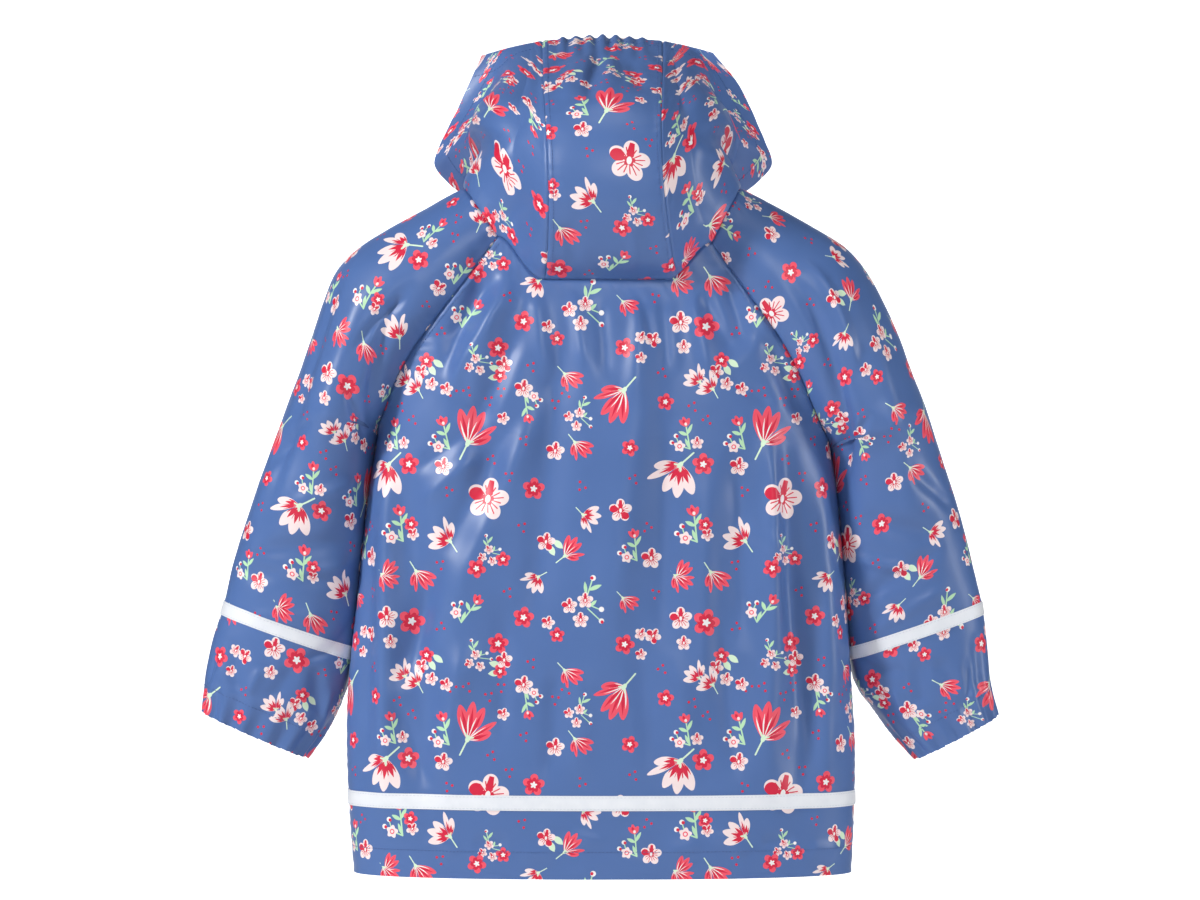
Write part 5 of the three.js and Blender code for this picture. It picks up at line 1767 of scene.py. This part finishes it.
def add_stud(panel, index):
    height = STUD_FIRST_HEIGHT + index * STUD_PITCH
    above = (height - UNDERARM_HEIGHT) / (NECK_FRONT_HEIGHT - UNDERARM_HEIGHT)
    row = 1 + above if above > 0 else height / UNDERARM_HEIGHT
    nearest = int(np.argmin(np.abs(panel.vs - row)))
    place = np.array([np.interp(0, panel.points[nearest, :, 0], panel.us)]), np.array([row])
    seat = sampled(panel, panel.points, *place)[0]
    out = -unit(sampled(panel, panel.inward_grid, *place))[0]
    aside = unit(np.cross(out, (0, 0, 1)))
    upward = np.cross(aside, out)
    points, faces = lathe(STUD_PROFILE, STUD_SIDES)
    placed = seat + out * STUD_GAP + points[:, :1] * aside + points[:, 1:2] * -upward + points[:, 2:] * out
    stud = add_mesh(f"stud_{index + 1}_cap", placed, faces, [metal])
    add_piece(stud, f"stud_{index + 1}")


for index in range(STUD_COUNT):
    add_stud(RIGHT.front, index)


# Stage, light and camera

# In metres
FLOOR = -1.05
WALL_BEHIND = 6.0
WALL_TOP = 2.2
STAGE_FRONT = 4.0
STAGE_HALF_WIDTH = 3.2
SWEEP_RADIUS = 0.8
SWEEP_STEPS = 12
GLOW_HEIGHT = -0.18
GLOW_FROM = -3.0


def stage_material():
    material, net, shader = new_material("pale_stage")
    place = object_place(net)
    tone = noise(net, place, 3)
    net.feed(shader.inputs["Base Color"], net.mixed(tone, (0.9, 0.9, 0.9, 1), (0.92, 0.92, 0.92, 1)))
    shader.inputs["Roughness"].default_value = 0.9
    shader.inputs["Specular IOR Level"].default_value = 0.1
    shader.inputs["Emission Color"].default_value = (1, 1, 1, 1)
    # The sweep glows where it stands behind the jacket, so that the picture's ground is white.
    x, y, z = net.parts(place)
    above = z - GLOW_HEIGHT
    away = net.length(x, above)
    glow = net.math("MULTIPLY_ADD", away, -1.28, 3.2, clamp=True) * 0.75 + 0.15
    net.feed(shader.inputs["Emission Strength"], glow * (y < GLOW_FROM))
    return material


def add_stage():
    """A pale sweep: a level floor that curves up into a wall, further off than any view's camera."""
    bend = SWEEP_RADIUS - WALL_BEHIND
    profile = [(STAGE_FRONT, FLOOR), (bend, FLOOR)]
    for k in range(1, SWEEP_STEPS + 1):
        turn = math.pi / 2 * k / SWEEP_STEPS
        profile.append((bend - SWEEP_RADIUS * math.sin(turn), FLOOR + SWEEP_RADIUS * (1 - math.cos(turn))))
    profile.append((-WALL_BEHIND, WALL_TOP))
    points = [(x, y, z) for y, z in profile for x in (-STAGE_HALF_WIDTH, STAGE_HALF_WIDTH)]
    points = np.array(points) / MM + (0, 0, ORIGIN_HEIGHT)
    faces = [(2 * k, 2 * k + 1, 2 * k + 3, 2 * k + 2) for k in range(len(profile) - 1)]
    return add_mesh("sweep", points, faces, [stage_material()])


# Lights: name, place, how high they aim, size, power, and whether they shine on gloss.
# The last two light the front, and leave no glare on the edges that the camera sees.
LIGHTS = [
    ("key", (2.7, 1.75, 1.4), -0.15, (0.4, 0.7), 100, True),
    ("back_fill", (-0.5, 3.1, 0.8), -0.15, (0.5, 0.5), 25, True),
    ("right_side", (-2.8, 0.75, 0.1), -0.2, (0.4, 0.8), 27, True),
    ("top", (-0.2, 0.6, 2.2), 0, (1.2, 0.6), 9, True),
    ("front_key", (0.9, -3.0, 1.6), -0.15, (0.6, 0.6), 50, False),
    ("front_fill", (-1.4, -2.6, 1.3), -0.15, (0.8, 0.6), 16, False),
]


def add_light(name, place, aim_height, size, power, on_gloss):
    data = bpy.data.lights.new(name, "AREA")
    data.shape = "RECTANGLE"
    data.size, data.size_y = size
    data.energy = power
    light = bpy.data.objects.new(name, data)
    light.location = place
    toward = Vector((0, 0, aim_height)) - Vector(place)
    light.rotation_euler = toward.to_track_quat("-Z", "Y").to_euler()
    light.visible_glossy = on_gloss
    bpy.context.scene.collection.objects.link(light)


add_stage()
for row in LIGHTS:
    add_light(*row)

scene = bpy.context.scene
world = bpy.data.worlds.new("studio")
world.use_nodes = True
background = world.node_tree.nodes["Background"]
background.inputs["Color"].default_value = (1, 1, 1, 1)
background.inputs["Strength"].default_value = 0.08
scene.world = world
scene.view_settings.view_transform = "Standard"
scene.view_settings.look = "None"

CAMERA_DISTANCE = 3.5
VIEW_MIDDLE = (0.0017, 0, -0.1764)
VIEW_WIDTH = 1.008
SENSOR_WIDTH = 36
data = bpy.data.cameras.new("camera")
data.sensor_width = SENSOR_WIDTH
data.lens = SENSOR_WIDTH * CAMERA_DISTANCE / VIEW_WIDTH
camera = bpy.data.objects.new("camera", data)
camera.location = (VIEW_MIDDLE[0], CAMERA_DISTANCE, VIEW_MIDDLE[2])
camera.rotation_euler = (math.pi / 2, 0, math.pi)
scene.collection.objects.link(camera)
scene.camera = camera
